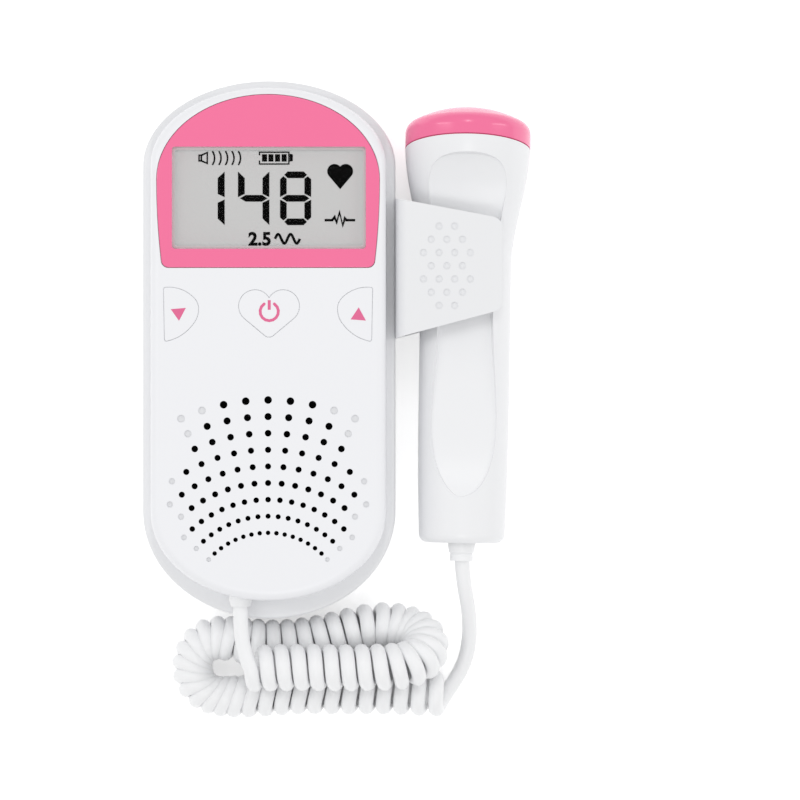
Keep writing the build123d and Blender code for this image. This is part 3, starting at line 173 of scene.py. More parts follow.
coil_route = nurbs_curve("coil_route", metres(COIL_LINE), COIL_RESOLUTION)
coil_centres = read_line(coil_route)
bpy.data.objects.remove(coil_route)
print("coil line", len(coil_centres), "points,", round(length_of(coil_centres) / MM, 1), "mm")

# %% [markdown]
# ## Pitch and lean
# A cord that lies in a heap is not evenly wound. Its turns crowd together in the
# bends and open out in the straight rows, and they lean out of square with their
# line. Two short tables say how far apart the turns are and how far they lean,
# and every place between two rows of a table is read off a straight line.

# %% Pitch and lean
WIRE = 3.8 * MM
TURN_RADIUS = 4.1 * MM
# share of the coil's length, distance from turn to turn in millimetres
PITCHES = [
    (0.0, 4.05), (0.19, 4.05), (0.23, 2.7), (0.31, 2.7), (0.36, 4.0),
    (0.54, 4.0), (0.58, 2.5), (0.69, 2.5), (0.75, 4.1), (1.0, 4.4),
]
# share of the coil's length, how far a turn leans in degrees
LEANS = [
    (0.0, -4), (0.16, -4), (0.22, 0), (0.31, -18), (0.42, -6), (0.52, -6),
    (0.58, -28), (0.66, -34), (0.75, -28), (0.85, -22), (1.0, -10),
]


def between(table, place):
    """Straight-line reading of a table of (place, value) rows."""
    for (low, a), (high, b) in zip(table, table[1:]):
        if place <= high:
            return a + (b - a) * (place - low) / (high - low)
    return table[-1][1]


print("pitch and lean halfway:", between(PITCHES, 0.5), "mm,", between(LEANS, 0.5), "degrees")

# %% [markdown]
# ## The curl
# The wire of a curly cord is wound on a rod and baked, so its line is a helix
# about the coil's own line. A screw modifier can't follow a bent line, so the
# helix is walked instead: the line is cut into fine steps, and for each step the
# wire turns by an angle that follows from the pitch. The plane of each turn is
# rotated a little about the upright direction, which makes it lean. A spline of
# order three runs a little inside its control points, so the control points get
# a slightly larger radius.

# %% Helix
POINTS_PER_TURN = 14
SHRINK = 0.75 + 0.25 * math.cos(math.tau / POINTS_PER_TURN)
HELIX_STEPS = 6000
AIM_STEPS = 60


def even_line(line, count):
    """The line's points at even distances, and the line's length."""
    reached = [0.0]
    for a, b in zip(line, line[1:]):
        reached.append(reached[-1] + (b - a).length)
    spaced, at = [], 0
    for step in range(count + 1):
        wanted = reached[-1] * step / count
        while at < len(line) - 2 and reached[at + 1] < wanted:
            at += 1
        share = (wanted - reached[at]) / max(reached[at + 1] - reached[at], 1e-9)
        spaced.append(line[at].lerp(line[at + 1], share))
    return spaced, reached[-1]


def helix_about(line, radius):
    """Control points of a helix that leaves its line's start on top and ends below its end."""
    steps = HELIX_STEPS
    fine, reach = even_line(line, steps)
    rate = [1 / (between(PITCHES, step / steps) * MM) for step in range(steps)]
    turns = sum(rate) * reach / steps
    whole = math.floor(turns) + 0.5
    points, angle, due = [], 0.0, 0.0
    for step in range(steps):
        if angle >= due - 1e-9:
            low, high = max(step - AIM_STEPS, 0), min(step + AIM_STEPS, steps)
            ahead = (fine[high] - fine[low]).normalized()
            up = (Vector((0, 0, 1)) - ahead * ahead.z).normalized()
            side = ahead.cross(up)
            lean = math.radians(between(LEANS, step / steps))
            side = side * math.cos(lean) + ahead * math.sin(lean)
            turned = math.tau * angle
            points.append(fine[step] + radius * (up * math.cos(turned) + side * math.sin(turned)))
            due += 1 / POINTS_PER_TURN
        angle += rate[step] * reach / steps * whole / turns
    return points, whole


helix, turn_count = helix_about(coil_centres, TURN_RADIUS / SHRINK)
print("turns", turn_count, "helix points", len(helix))

# %% [markdown]
# ## One cord
# The two leads and the helix become one spline with a round section, so the cord
# is a single unbroken tube. The points of the leads that lie inside the coil give
# way to the helix. Three tubes that touch would show a seam at each joint. The
# tube is made a mesh.

# %% Cord
CORD_RESOLUTION = 3
SECTION_RESOLUTION = 4

cord_points = metres(UNIT_LEAD[:-1]) + helix + metres(PROBE_LEAD[1:])
cord_curve = nurbs_curve("cord_curve", cord_points, CORD_RESOLUTION)
cord_path = read_line(cord_curve)
cord_curve.data.bevel_depth = WIRE / 2
cord_curve.data.bevel_resolution = SECTION_RESOLUTION
cord_curve.data.use_fill_caps = True
curly_cord = placed("curly_cord", worked_out(cord_curve))
bpy.data.objects.remove(cord_curve)
curly_cord.data.shade_smooth()
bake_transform(curly_cord)
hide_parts("cord_unit_lead", "cord_coil", "cord_probe_lead")
print("cord", round(length_of(cord_path), 3), "m,", len(curly_cord.data.polygons), "faces")

# %% [markdown]
# ## How a finish is built
# Every surface gets a material made of nodes. A material is a small network: a
# pattern is read at a place on the surface, turned into a colour or a gloss, and
# fed to a shader. Three helpers keep the networks short. One starts an empty
# material, one adds a node with its settings, and one adds a ramp from a dark
# colour to a light one.

# %% Node helpers
def new_material(name):
    material = bpy.data.materials.new(name)
    material.use_nodes = True
    material.node_tree.nodes.clear()
    return material, material.node_tree.nodes, material.node_tree.links


def add(nodes, kind, **values):
    """A node of one kind, with its own settings or the values of its inputs."""
    node = nodes.new(kind)
    for key, value in values.items():
        if hasattr(node, key):
            setattr(node, key, value)
        else:
            node.inputs[key.replace("_", " ").title()].default_value = value
    return node


def two_tone(nodes, dark, light, low=0.0, high=1.0):
    """A ramp between two colours, from a low to a high reading of a pattern."""
    ramp = add(nodes, "ShaderNodeValToRGB")
    first, last = ramp.color_ramp.elements
    first.position, last.position = low, high
    first.color, last.color = (*dark, 1), (*light, 1)
    return ramp


def shader_of(material):
    return next(node for node in material.node_tree.nodes if node.type == "BSDF_PRINCIPLED")


print("node helpers ready")

# %% [markdown]
# ## A moulded finish
# Moulded plastic is never one flat colour: there is a fine grain from the mould,
# the gloss changes a little from place to place, and the colour drifts very
# slightly over a hand's breadth. All three come from two noise textures, a slow
# one and a fine one. One function builds such a finish, and each slot gives it
# its own numbers, so that the whole object looks as if it came from one factory.

# %% Moulded finish
GRAIN_HEIGHT = 0.2 * MM
SOFT_DEPTH = 1 * MM
COAT_ROUGHNESS = 0.2
SMOOTHEST = 0.02


def finish(name, colour, drift, roughness, gloss_spread=0.06, grain=900, depth=0.04, metal=0.0,
           stretch=(1, 1, 1), coat=0.0, drift_scale=28, soft=0.0):
    """A surface with slow drift in its colour, uneven gloss and a fine grain."""
    material, nodes, links = new_material(name)
    place = add(nodes, "ShaderNodeTexCoord")
    mapping = add(nodes, "ShaderNodeMapping")
    mapping.inputs["Scale"].default_value = stretch
    links.new(place.outputs["Object"], mapping.inputs["Vector"])
    slow = add(nodes, "ShaderNodeTexNoise", Scale=drift_scale, Detail=4.0, Roughness=0.55)
    fine = add(nodes, "ShaderNodeTexNoise", Scale=grain, Detail=3.0, Roughness=0.6)
    for noise in (slow, fine):
        links.new(mapping.outputs["Vector"], noise.inputs["Vector"])
    ramp = two_tone(nodes, [c * (1 - drift) for c in colour], colour, low=0.3, high=0.7)
    links.new(slow.outputs["Fac"], ramp.inputs["Fac"])
    gloss = add(nodes, "ShaderNodeMapRange")
    gloss.inputs["To Min"].default_value = max(roughness - gloss_spread, SMOOTHEST)
    gloss.inputs["To Max"].default_value = min(roughness + gloss_spread, 1.0)
    links.new(fine.outputs["Fac"], gloss.inputs["Value"])
    bump = add(nodes, "ShaderNodeBump")
    bump.inputs["Strength"].default_value = depth
    bump.inputs["Distance"].default_value = GRAIN_HEIGHT
    links.new(fine.outputs["Fac"], bump.inputs["Height"])
    shader = add(nodes, "ShaderNodeBsdfPrincipled")
    shader.inputs["Metallic"].default_value = metal
    shader.inputs["Coat Weight"].default_value = coat
    shader.inputs["Coat Roughness"].default_value = COAT_ROUGHNESS
    shader.inputs["Subsurface Weight"].default_value = soft
    shader.inputs["Subsurface Radius"].default_value = (1, 1, 1)
    shader.inputs["Subsurface Scale"].default_value = SOFT_DEPTH
    links.new(ramp.outputs["Color"], shader.inputs["Base Color"])
    links.new(gloss.outputs["Result"], shader.inputs["Roughness"])
    links.new(bump.outputs["Normal"], shader.inputs["Normal"])
    out = add(nodes, "ShaderNodeOutputMaterial")
    links.new(shader.outputs["BSDF"], out.inputs["Surface"])
    return material


print("grain height", GRAIN_HEIGHT / MM, "mm")

# %% [markdown]
# ## Housings, panel and cord
# The lid, the back shell and the probe are moulded in three batches of white
# plastic, and the back is a little greyer than the lid. The pink panel and the
# probe's cap are polished and lacquered, so they have a smooth gloss and a thin
# clear coat. The cord's jacket is soft, and a little light passes into it.

# %% Finishes of the housings
FINISHES = {
    "white_shell": finish("lid_white", (0.90, 0.905, 0.93), 0.008, 0.36, depth=0.02),
    "back_white": finish("back_shell_white", (0.86, 0.865, 0.88), 0.01, 0.42, depth=0.03),
    "probe_white": finish("probe_white", (0.90, 0.905, 0.92), 0.008, 0.34, depth=0.02),
    "pink_panel": finish("gloss_pink", (0.955, 0.172, 0.357), 0.015, 0.22,
                         gloss_spread=0.01, depth=0.002, coat=0.25),
    "cord_white": finish("cord_white", (0.94, 0.945, 0.955), 0.01, 0.36,
                         depth=0.03, grain=1400, soft=0.15),
    "lcd": finish("display_grey", (0.585, 0.585, 0.58), 0.012, 0.55, depth=0.01, grain=2500),
    # The carrier is matt off-white; its colour is darkened to grey as painted shade, so its edge in the
    # display window reads as a shadow line.
    "lcd_carrier": finish("carrier_darkened_as_shade", (0.68, 0.69, 0.66), 0.04, 0.55, depth=0.08),
}
print("outer finishes:", sorted(FINISHES))

# %% [markdown]
# ## What is held inside
# Most of the inside is seen only when the battery door is open, but every part
# has its real finish: black components, zinc-plated screws that were turned and
# so are grained along their axis, nickel springs, silvered ceramic and a grey
# damping compound.

# %% Finishes of what is held inside
FINISHES.update({
    "black_plastic": finish("component_black", (0.015, 0.015, 0.017), 0.3, 0.5, depth=0.15),
    "plunger_plastic": finish("plunger_grey", (0.03, 0.03, 0.033), 0.2, 0.5, depth=0.1),
    "screw_steel": finish("zinc_steel", (0.55, 0.55, 0.56), 0.1, 0.32, metal=1.0, stretch=(1, 1, 8)),
    "speaker_steel": finish("black_steel", (0.004, 0.004, 0.004), 0.2, 0.7, depth=0.08),
    "magnet": finish("plated_yoke", (0.45, 0.45, 0.47), 0.1, 0.3, metal=1.0),
    "contact_steel": finish("nickel_spring", (0.62, 0.61, 0.58), 0.12, 0.22, metal=1.0),
    "crystal": finish("silvered_ceramic", (0.5, 0.45, 0.3), 0.15, 0.45, metal=0.3),
    "backing": finish("damping_grey", (0.075, 0.075, 0.085), 0.2, 0.7, depth=0.2),
})
print("finishes so far:", len(FINISHES))

# %% [markdown]
# ## Patterns from the making
# Some of the parts carry a pattern that their making leaves on them. The rubber
# strip that joins the display to the board is a stack of thin layers. The
# speaker's cone is pressed from paper with rings in it. The cells are wrapped in
# film with broad printed bands. Each of these starts from the plain finish, and a
# wave texture is laid over its colour.

# %% Patterns
def banded(material, kind, direction, scale, dark, light, centre=(0, 0, 0)):
    """Stripes or rings of two colours, about a centre or across one direction."""
    nodes, links = material.node_tree.nodes, material.node_tree.links
    place = add(nodes, "ShaderNodeTexCoord")
    mapping = add(nodes, "ShaderNodeMapping")
    mapping.inputs["Location"].default_value = [-c for c in centre]
    wave = add(nodes, "ShaderNodeTexWave", Scale=scale, wave_type=kind)
    if kind == "RINGS":
        wave.rings_direction = direction
    else:
        wave.bands_direction = direction
    ramp = two_tone(nodes, dark, light, low=0.35, high=0.65)
    links.new(place.outputs["Object"], mapping.inputs["Vector"])
    links.new(mapping.outputs["Vector"], wave.inputs["Vector"])
    links.new(wave.outputs["Fac"], ramp.inputs["Fac"])
    links.new(ramp.outputs["Color"], shader_of(material).inputs["Base Color"])
    return material


def middle_of(node):
    low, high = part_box(node)
    return [(a + b) / 2 for a, b in zip(low, high)]


FINISHES["speaker_paper"] = banded(
    finish("doped_paper", (0.01, 0.01, 0.011), 0.35, 0.85, depth=0.4, grain=1800),
    "RINGS", "Z", 130, (0.003, 0.003, 0.003), (0.008, 0.008, 0.009), middle_of("speaker_cone"))
FINISHES["elastomer"] = banded(
    finish("layered_rubber", (0.004, 0.004, 0.004), 0.2, 0.8, depth=0.12),
    "BANDS", "X", 700, (0.002, 0.002, 0.002), (0.006, 0.006, 0.006))
FINISHES["cell_can"] = banded(
    finish("cell_wrap", (0.3, 0.32, 0.36), 0.15, 0.3, metal=0.6, stretch=(1, 0.1, 1)),
    "BANDS", "Y", 9, (0.06, 0.07, 0.1), (0.42, 0.43, 0.45))
print("patterned finishes: cone, strip, cells")

# %% [markdown]
# ## The board
# The board's solder mask is green with lighter tracks under it. They could be
# drawn one by one, but nobody can follow them through a battery door. A fine
# brick texture gives the same rectangular run of tracks with a single node.

# %% Board finish
def board_finish():
    material = finish("solder_mask", (0.02, 0.13, 0.045), 0.25, 0.35, depth=0.05)
    nodes, links = material.node_tree.nodes, material.node_tree.links
    place = add(nodes, "ShaderNodeTexCoord")
    tracks = add(nodes, "ShaderNodeTexBrick")
    tracks.inputs["Scale"].default_value = 260
    tracks.inputs["Mortar Size"].default_value = 0.03
    tracks.inputs["Color1"].default_value = (0.015, 0.11, 0.035, 1)
    tracks.inputs["Color2"].default_value = (0.02, 0.14, 0.05, 1)
    tracks.inputs["Mortar"].default_value = (0.07, 0.3, 0.1, 1)
    links.new(place.outputs["Object"], tracks.inputs["Vector"])
    links.new(tracks.outputs["Color"], shader_of(material).inputs["Base Color"])
    return material


FINISHES["circuit_board"] = board_finish()
print("board finish:", FINISHES["circuit_board"].name)

# %% [markdown]
# ## Clear pane and dull blacks
# The window over the display is a clear acrylic pane with a dull anti-glare face.
# A real glass shader would darken the display behind it, and a pane this thin
# hardly bends light, so it is see-through by its alpha. The speaker's steel and
# paper sit deep in the holes of the grille. Their mirror part is turned down, so
# that the holes stay black.

# %% Clear pane and dull blacks
PANE_ALPHA = 0.002


def dulled(material, level):
    """The same finish with its mirror part turned down to a level."""
    shader_of(material).inputs["Specular IOR Level"].default_value = level
    return material


FINISHES["clear_lens"] = dulled(
    finish("clear_acrylic", (0.9, 0.9, 0.9), 0.01, 0.3, gloss_spread=0.02, depth=0.0), 0.15)
shader_of(FINISHES["clear_lens"]).inputs["Alpha"].default_value = PANE_ALPHA
for slot in ("speaker_steel", "speaker_paper"):
    dulled(FINISHES[slot], 0.05)
print("pane alpha", PANE_ALPHA)

# %% [markdown]
# ## Putting the finishes on
# The record of the part says which slot each node belongs to, so one loop dresses
# the whole frame. The cord, which is added later, is given its own finish after the
# loop.

# %% Put the finishes on
slot_of = {part["node"]: part["material_slot"] for part in frame["record"]["subparts"]}
for name, node in frame["nodes"].items():
    node.data.materials.clear()
    node.data.materials.append(FINISHES[slot_of[name]])
curly_cord.data.materials.append(FINISHES["cord_white"])
print("finishes:", len(FINISHES))

# %% [markdown]
# ## Flat signs
# The dark signs of the display are thin electrodes that turn black, and the signs
# on the buttons are a film of printed ink. A picture laid over the face would
# blur close by, so each sign is a real film with a small thickness. A closed flat
# curve fills itself and is given its thickness by its extrusion. It is drawn in
# millimetres, made a mesh, and only then brought to size and laid on its surface.

# %% Films
def laid_flat(curve, name, low, thickness, material, body, slot):
    """Makes a flat curve a thin mesh that lies at a height and moves with a body."""
    curve.extrude = thickness / 2
    drawn = placed(name, curve)
    mesh = worked_out(drawn)
    bpy.data.objects.remove(drawn)
    bm = bmesh.new()
    bm.from_mesh(mesh)
    bmesh.ops.remove_doubles(bm, verts=bm.verts, dist=1e-4)
    bmesh.ops.translate(bm, vec=(0, 0, low + thickness / 2), verts=bm.verts)
    bmesh.ops.scale(bm, vec=(MM, MM, MM), verts=bm.verts)
    bmesh.ops.recalc_face_normals(bm, faces=bm.faces)
    bm.to_mesh(mesh)
    bm.free()
    mesh.materials.clear()
    mesh.materials.append(material)
    piece = placed(name, mesh)
    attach(piece, body)
    print(name, len(mesh.polygons), "faces")


def outlined(name, outlines, *rest):
    """One film from closed outlines in millimetres."""
    curve = bpy.data.curves.new(name, "CURVE")
    curve.dimensions = "2D"
    curve.fill_mode = "BOTH"
    for outline in outlines:
        spline = curve.splines.new("POLY")
        spline.points.add(len(outline) - 1)
        for spot, (x, y) in zip(spline.points, outline):
            spot.co = (x, y, 0, 1)
        spline.use_cyclic_u = True
    laid_flat(curve, name, *rest)


# %% [markdown]
# ## Strokes and arcs
# The signs share a few strokes: a bar, an arc, an arc with a width and round
# ends, and a thin line drawn out to its width. Each helper only returns the
# corners of an outline, so the strokes can be put together freely.

# %% Outlines
def bar(low_x, low_y, high_x, high_y):
    return [(low_x, low_y), (high_x, low_y), (high_x, high_y), (low_x, high_y)]


def arc(centre, radius, start, sweep, steps=12):
    """Points on an arc, with its angles in degrees."""
    turns = [math.radians(start + sweep * k / steps) for k in range(steps + 1)]
    return [(centre[0] + radius * math.cos(t), centre[1] + radius * math.sin(t)) for t in turns]


def arc_band(centre, radius, width, start, sweep):
    """A curved stroke with round ends."""
    outer = arc(centre, radius + width / 2, start, sweep)
    inner = arc(centre, radius - width / 2, start + sweep, -sweep)
    far = arc(centre, radius, start + sweep, 0, 1)[0]
    near = arc(centre, radius, start, 0, 1)[0]
    far_end = arc(far, width / 2, start + sweep, 180, 8)[1:-1]
    near_end = arc(near, width / 2, start + 180, 180, 8)[1:-1]
    return outer + far_end + inner + near_end


def stroke(points, width):
    """A thin line of straight or curving runs, drawn out to its width."""
    sides = ([], [])
    for k, (x, y) in enumerate(points):
        before = Vector(points[max(k - 1, 0)])
        after = Vector(points[min(k + 1, len(points) - 1)])
        here = Vector((x, y))
        arriving = (here - before).normalized() if k else (after - here).normalized()
        leaving = (after - here).normalized() if k < len(points) - 1 else arriving
        along = (arriving + leaving).normalized()
        across = Vector((-along.y, along.x)) * width / 2 / max(along.dot(arriving), 0.5)
        sides[0].append(tuple(here + across))
        sides[1].append(tuple(here - across))
    return sides[0] + sides[1][::-1]


print("a round-ended arc has", len(arc_band((0, 0), 1, 0.2, 0, 90)), "corners")

# %% [markdown]
# ## Digits
# A digit of seven segments is made of upright strokes and level strokes. A font
# has no such digits, so they are drawn. The strokes have slanted ends, so that
# neighbours almost meet and only a hairline of grey shows between them. The 1 and
# the 4 end in points, and the 8 has its corners cut. The ink reflects almost
# nothing, as a dark display segment does.

# %% Digits in millimetres
INK_LOW, INK_THICKNESS = 28.02, 0.05
INK = dulled(finish("display_black", (0.0012, 0.0012, 0.0012), 0.2, 0.7, depth=0.0), 0.02)
DIGIT_MIDDLE = 37.75
POINTED_REACH, CUT_REACH, LEVEL_REACH = 6.65, 5.5, 5.87
HALF_LEVEL = 0.82


def display_sign(name, outlines):
    outlined(name, outlines, INK_LOW, INK_THICKNESS, INK, "unit", "lcd")


def pointed_upright(outer, inner, way):
    """Half of a digit's side: from the middle up (way 1) or down (way -1) to a point."""
    gap, near_slant, far_slant = 0.3, 0.8, 1.6
    near, far = DIGIT_MIDDLE + gap * way, DIGIT_MIDDLE + POINTED_REACH * way
    return [(outer, near), (inner, near + near_slant * way), (inner, far - far_slant * way), (outer, far)]


def cut_upright(outer, inner, way):
    """Half of an 8's side, with its corner cut."""
    gap, near_slant, inner_cut, outer_cut = 0.35, 0.82, 0.62, 0.75
    near, far = DIGIT_MIDDLE + gap * way, DIGIT_MIDDLE + CUT_REACH * way
    return [(outer, near), (inner, near + near_slant * way), (inner, far - inner_cut * way),
            ((outer + inner) / 2, far), (outer, far - outer_cut * way)]


def level(low_x, high_x, y, cut):
    """A level stroke that comes to a point at both ends."""
    return [(low_x, y), (low_x + cut, y - HALF_LEVEL), (high_x - cut, y - HALF_LEVEL), (high_x, y),
            (high_x - cut, y + HALF_LEVEL), (low_x + cut, y + HALF_LEVEL)]


one = [pointed_upright(-10.88, -12.6, way) for way in (1, -1)]
four = [pointed_upright(-7.54, -5.88, 1), level(-7.04, -0.16, DIGIT_MIDDLE, 1.4)]
four += [pointed_upright(0.27, -1.41, way) for way in (1, -1)]
eight = [cut_upright(outer, inner, way)
         for outer, inner in ((2.96, 4.59), (10.71, 9.05)) for way in (1, -1)]
eight += [level(3.4, 10.28, DIGIT_MIDDLE, 1.2)]
eight += [level(4.02, 9.66, DIGIT_MIDDLE + LEVEL_REACH * way, 0.82) for way in (1, -1)]
display_sign("display_digits", one + four + eight)

# %% [markdown]
# ## Loudspeaker and battery
# Along the top of the display are a loudspeaker with five sound waves and a
# battery with four full cells. An outline that lies inside another one cuts a
# hole in it, which is how the loudspeaker and the battery get their thin walls.

# %% Loudspeaker and battery
speaker_sign = [
    [(-17.45, 48.7), (-17.45, 46.9), (-16.75, 46.9), (-15.05, 46.2), (-15.05, 49.45), (-16.75, 48.7)],
    [(-17.1, 48.35), (-17.1, 47.25), (-16.9, 47.25), (-16.9, 48.35)],
    [(-16.5, 48.35), (-16.5, 47.25), (-15.4, 46.75), (-15.4, 48.9)],
]
sound_waves = [arc_band((-16.4 + 1.62 * k, 47.8), 3.0, 0.4, -32, 64) for k in range(5)]
display_sign("speaker_sign", speaker_sign + sound_waves)

case = [(-2.35, 48.5), (-2.35, 49.42), (5.32, 49.42), (5.32, 46.15), (-2.35, 46.15), (-2.35, 47.2),
        (-2.02, 47.2), (-2.02, 46.48), (4.99, 46.48), (4.99, 49.09), (-2.02, 49.09), (-2.02, 48.5)]
cells = [bar(low, 46.92, low + 1.25, 48.75) for low in (-1.55, 0.05, 1.7, 3.35)]
knob = [(5.36, 46.95), (6.0, 47.0), (6.15, 47.2), (6.15, 48.6), (6.0, 48.8), (5.36, 48.85)]
display_sign("battery_sign", [case, knob] + cells)

# %% [markdown]
# ## Heart and pulse trace
# A heart shows that a heartbeat is heard, and a short pulse trace lies below it.
# The heart is two arcs and a point. Only its right half is worked out, and the
# left half is its mirror image, so the two sides are sure to match.

# %% Heart and pulse trace
HEART = (17.96, 44.5)
HEART_DROP = 4.47
LOBE_OFFSET, LOBE_RADIUS = 1.4, 1.82
right_lobe = arc((HEART[0] + LOBE_OFFSET, HEART[1]), LOBE_RADIUS, -39, 180.8, 20)
left_lobe = [(2 * HEART[0] - x, y) for x, y in right_lobe[::-1]]
heart = [(HEART[0], HEART[1] - HEART_DROP)] + right_lobe + left_lobe[1:]
pulse = stroke([(14.1, 32.3), (16.0, 32.3), (16.6, 33.1), (17.1, 31.7), (17.8, 34.3),
                (18.6, 31.0), (19.1, 32.8), (19.5, 32.3), (21.7, 32.3)], 0.6)
display_sign("heart_sign", [heart, pulse])

# %% [markdown]
# ## Working frequency
# At the foot of the display stand the working frequency, a plain number, and a
# little wave. These digits are printed in a common typeface, so a text object
# draws them, and its offset makes them bold.

# %% Frequency and wave
RIPPLE_START, RIPPLE_LENGTH, RIPPLE_RISE = (1.7, 27.65), 6.2, 1.15
RIPPLE_STEPS, RIPPLE_WIDTH = 48, 0.65
ripple = [(RIPPLE_START[0] + RIPPLE_LENGTH * k / RIPPLE_STEPS,
           RIPPLE_START[1] + RIPPLE_RISE * math.sin(math.tau * k / (RIPPLE_STEPS / 2)))
          for k in range(RIPPLE_STEPS + 1)]
display_sign("wave_sign", [stroke(ripple, RIPPLE_WIDTH)])

frequency = bpy.data.curves.new("frequency_sign", "FONT")
frequency.body = "2.5"
frequency.size = 4.5
frequency.offset = 0.17
frequency.space_character = 1.04
frequency.offset_x = -4.95
frequency.offset_y = 26.1
laid_flat(frequency, "frequency_sign", INK_LOW, INK_THICKNESS, INK, "unit", "lcd")

# %% [markdown]
# ## Border of the pane
# The clear pane in front of the display rests on a narrow ledge of the white lid.
# A border printed on the back of the pane, in the grey of the display, hides the
# ledge. It is one rounded outline inside another, so that it follows the pane's
# corners.

# %% Pane border
PANE_MIDDLE, PANE_SIZE, LEDGE = (0.2, 37.85), (48.2, 25.3), 0.65
BORDER_LOW, BORDER_THICKNESS = 28.95, 0.04


def rounded_box(inset, radius):
    """The pane's outline, drawn in by an inset."""
    far_x, far_y = (side / 2 - inset - radius for side in PANE_SIZE)
    corners = ((far_x, far_y), (-far_x, far_y), (-far_x, -far_y), (far_x, -far_y))
    return [spot for k, (x, y) in enumerate(corners)
            for spot in arc((PANE_MIDDLE[0] + x, PANE_MIDDLE[1] + y), radius, 90 * k, 90, 6)]


pane_border = [rounded_box(0.02, 0.7), rounded_box(LEDGE, 0.4)]
outlined("pane_border", pane_border, BORDER_LOW, BORDER_THICKNESS, FINISHES["lcd"], "unit", "lcd")

# %% [markdown]
# ## Behind the grille
# The speaker sits in a round rib under the lid. The outer holes of the grille open
# over its gasket and the rib, and a near-black film is laid in them as painted
# shade, so that nothing pale shows in them. The holes lie on arcs about a point
# below the monitor, and each arc ends in blind dimples, whose floors get a greyer
# film as painted shade. Holes and dimples are walked in the same loop, row by row
# from the display outwards, and a hole gets the painted shade only where it
# reaches past the speaker's cone.

# %% Painted shade in holes and dimples
SPEAKER_MIDDLE, CONE_RADIUS = Vector((0, -31)), 18.0
FAN_MIDDLE_Y, FIRST_ROW, ROW_STEP, HOLE_ANGLE = -65.5, 52.9, 4.14, 6.05
# holes in the row, their radius, and the blind dimples at each end of the row
GRILLE_ROWS = [
    (5, 0.96, 2), (7, 0.90, 1), (9, 0.84, 0), (11, 0.78, 1), (13, 0.77, 1),
    (13, 0.77, 1), (15, 0.71, 1), (15, 0.65, 1), (15, 0.58, 1),
]
DISC_PLAY, DISC_CORNERS = 0.02, 16
# Heights of the two painted shade films: in the holes, and on the dimple floors.
HOLE_SHADE_LOW, HOLE_SHADE_THICKNESS = 28.02, 0.05
DIMPLE_SHADE_LOW, DIMPLE_SHADE_THICKNESS = 29.5, 0.03

hole_shade_dots, dimple_shade_discs = [], []
for row, (holes, radius, dimples) in enumerate(GRILLE_ROWS):
    reach, last = FIRST_ROW - ROW_STEP * row, holes // 2
    for k in range(-last - dimples, last + dimples + 1):
        angle = math.radians(HOLE_ANGLE * k)
        middle = Vector((reach * math.sin(angle), reach * math.cos(angle) + FAN_MIDDLE_Y))
        disc = arc(middle, radius - DISC_PLAY, 0, 360, DISC_CORNERS)[:-1]
        if abs(k) > last:
            dimple_shade_discs.append(disc)
        elif (middle - SPEAKER_MIDDLE).length + radius > CONE_RADIUS:
            hole_shade_dots.append(disc)
# Near-black film in the outer holes: painted shade over the lit rib and gasket.
HOLE_SHADE = dulled(finish("painted_hole_shade", (0.002, 0.002, 0.002), 0.3, 0.9, depth=0.1), 0.05)
# Greyer film on the dimple floors: painted shade in the hollows.
DIMPLE_SHADE = finish("painted_dimple_shade", (0.79, 0.795, 0.81), 0.01, 0.4)
outlined("grille_hole_shade", hole_shade_dots, HOLE_SHADE_LOW, HOLE_SHADE_THICKNESS, HOLE_SHADE, "unit", "speaker_paper")
outlined("dimple_shade_discs", dimple_shade_discs, DIMPLE_SHADE_LOW, DIMPLE_SHADE_THICKNESS, DIMPLE_SHADE,
         "unit", "white_shell")
print("hole shade dots", len(hole_shade_dots), "dimple floors", len(dimple_shade_discs))

# %% [markdown]
# ## Signs on the buttons
# The power button shows a broken ring with a bar in the gap. The volume buttons
# show a triangle each, one that points towards the user and one away. They are
# printed in the pink of the panel. Each film rides on its own button, so it sinks
# with the button when that is pressed.

# %% Button signs
BUTTON_TOP, INK_FILM = 30.15, 0.03
INK_PINK = finish("print_pink", (0.80, 0.14, 0.31), 0.02, 0.4, depth=0.01)


def button_sign(name, outlines, button):
    outlined(name, outlines, BUTTON_TOP, INK_FILM, INK_PINK, button, "pink_panel")


ring = arc_band((0.3, 9.45), 2.28, 0.72, 124, 292)
power_bar = stroke([(0.3, 12.3), (0.3, 9.9)], 0.74)
quieter = [(-24.25, 10.05), (-22.2, 7.15), (-20.5, 10.35)]
louder = [(20.6, 7.5), (24.4, 7.2), (22.6, 10.5)]
button_sign("power_sign", [ring, power_bar], "power_button")
button_sign("volume_down_sign", [quieter], "volume_down_button")
button_sign("volume_up_sign", [louder], "volume_up_button")

# %% [markdown]
# ## Key web
# A thin web of the lid's plastic surrounds each button a little below the
# surface. It all but closes the slit round the button, so the slit looks like a
# faint line and not like a dark crack. Its shape could be typed in again, but it
# is read from the button, so the two can't differ: a level cut through the
# button's walls gives a loop, and the web is a narrow band along the outside of
# that loop.

# %% Key web
WEB_LOW, WEB_THICKNESS = 29.62, 0.1
WEB_NEAR, WEB_FAR = 0.01, 0.11


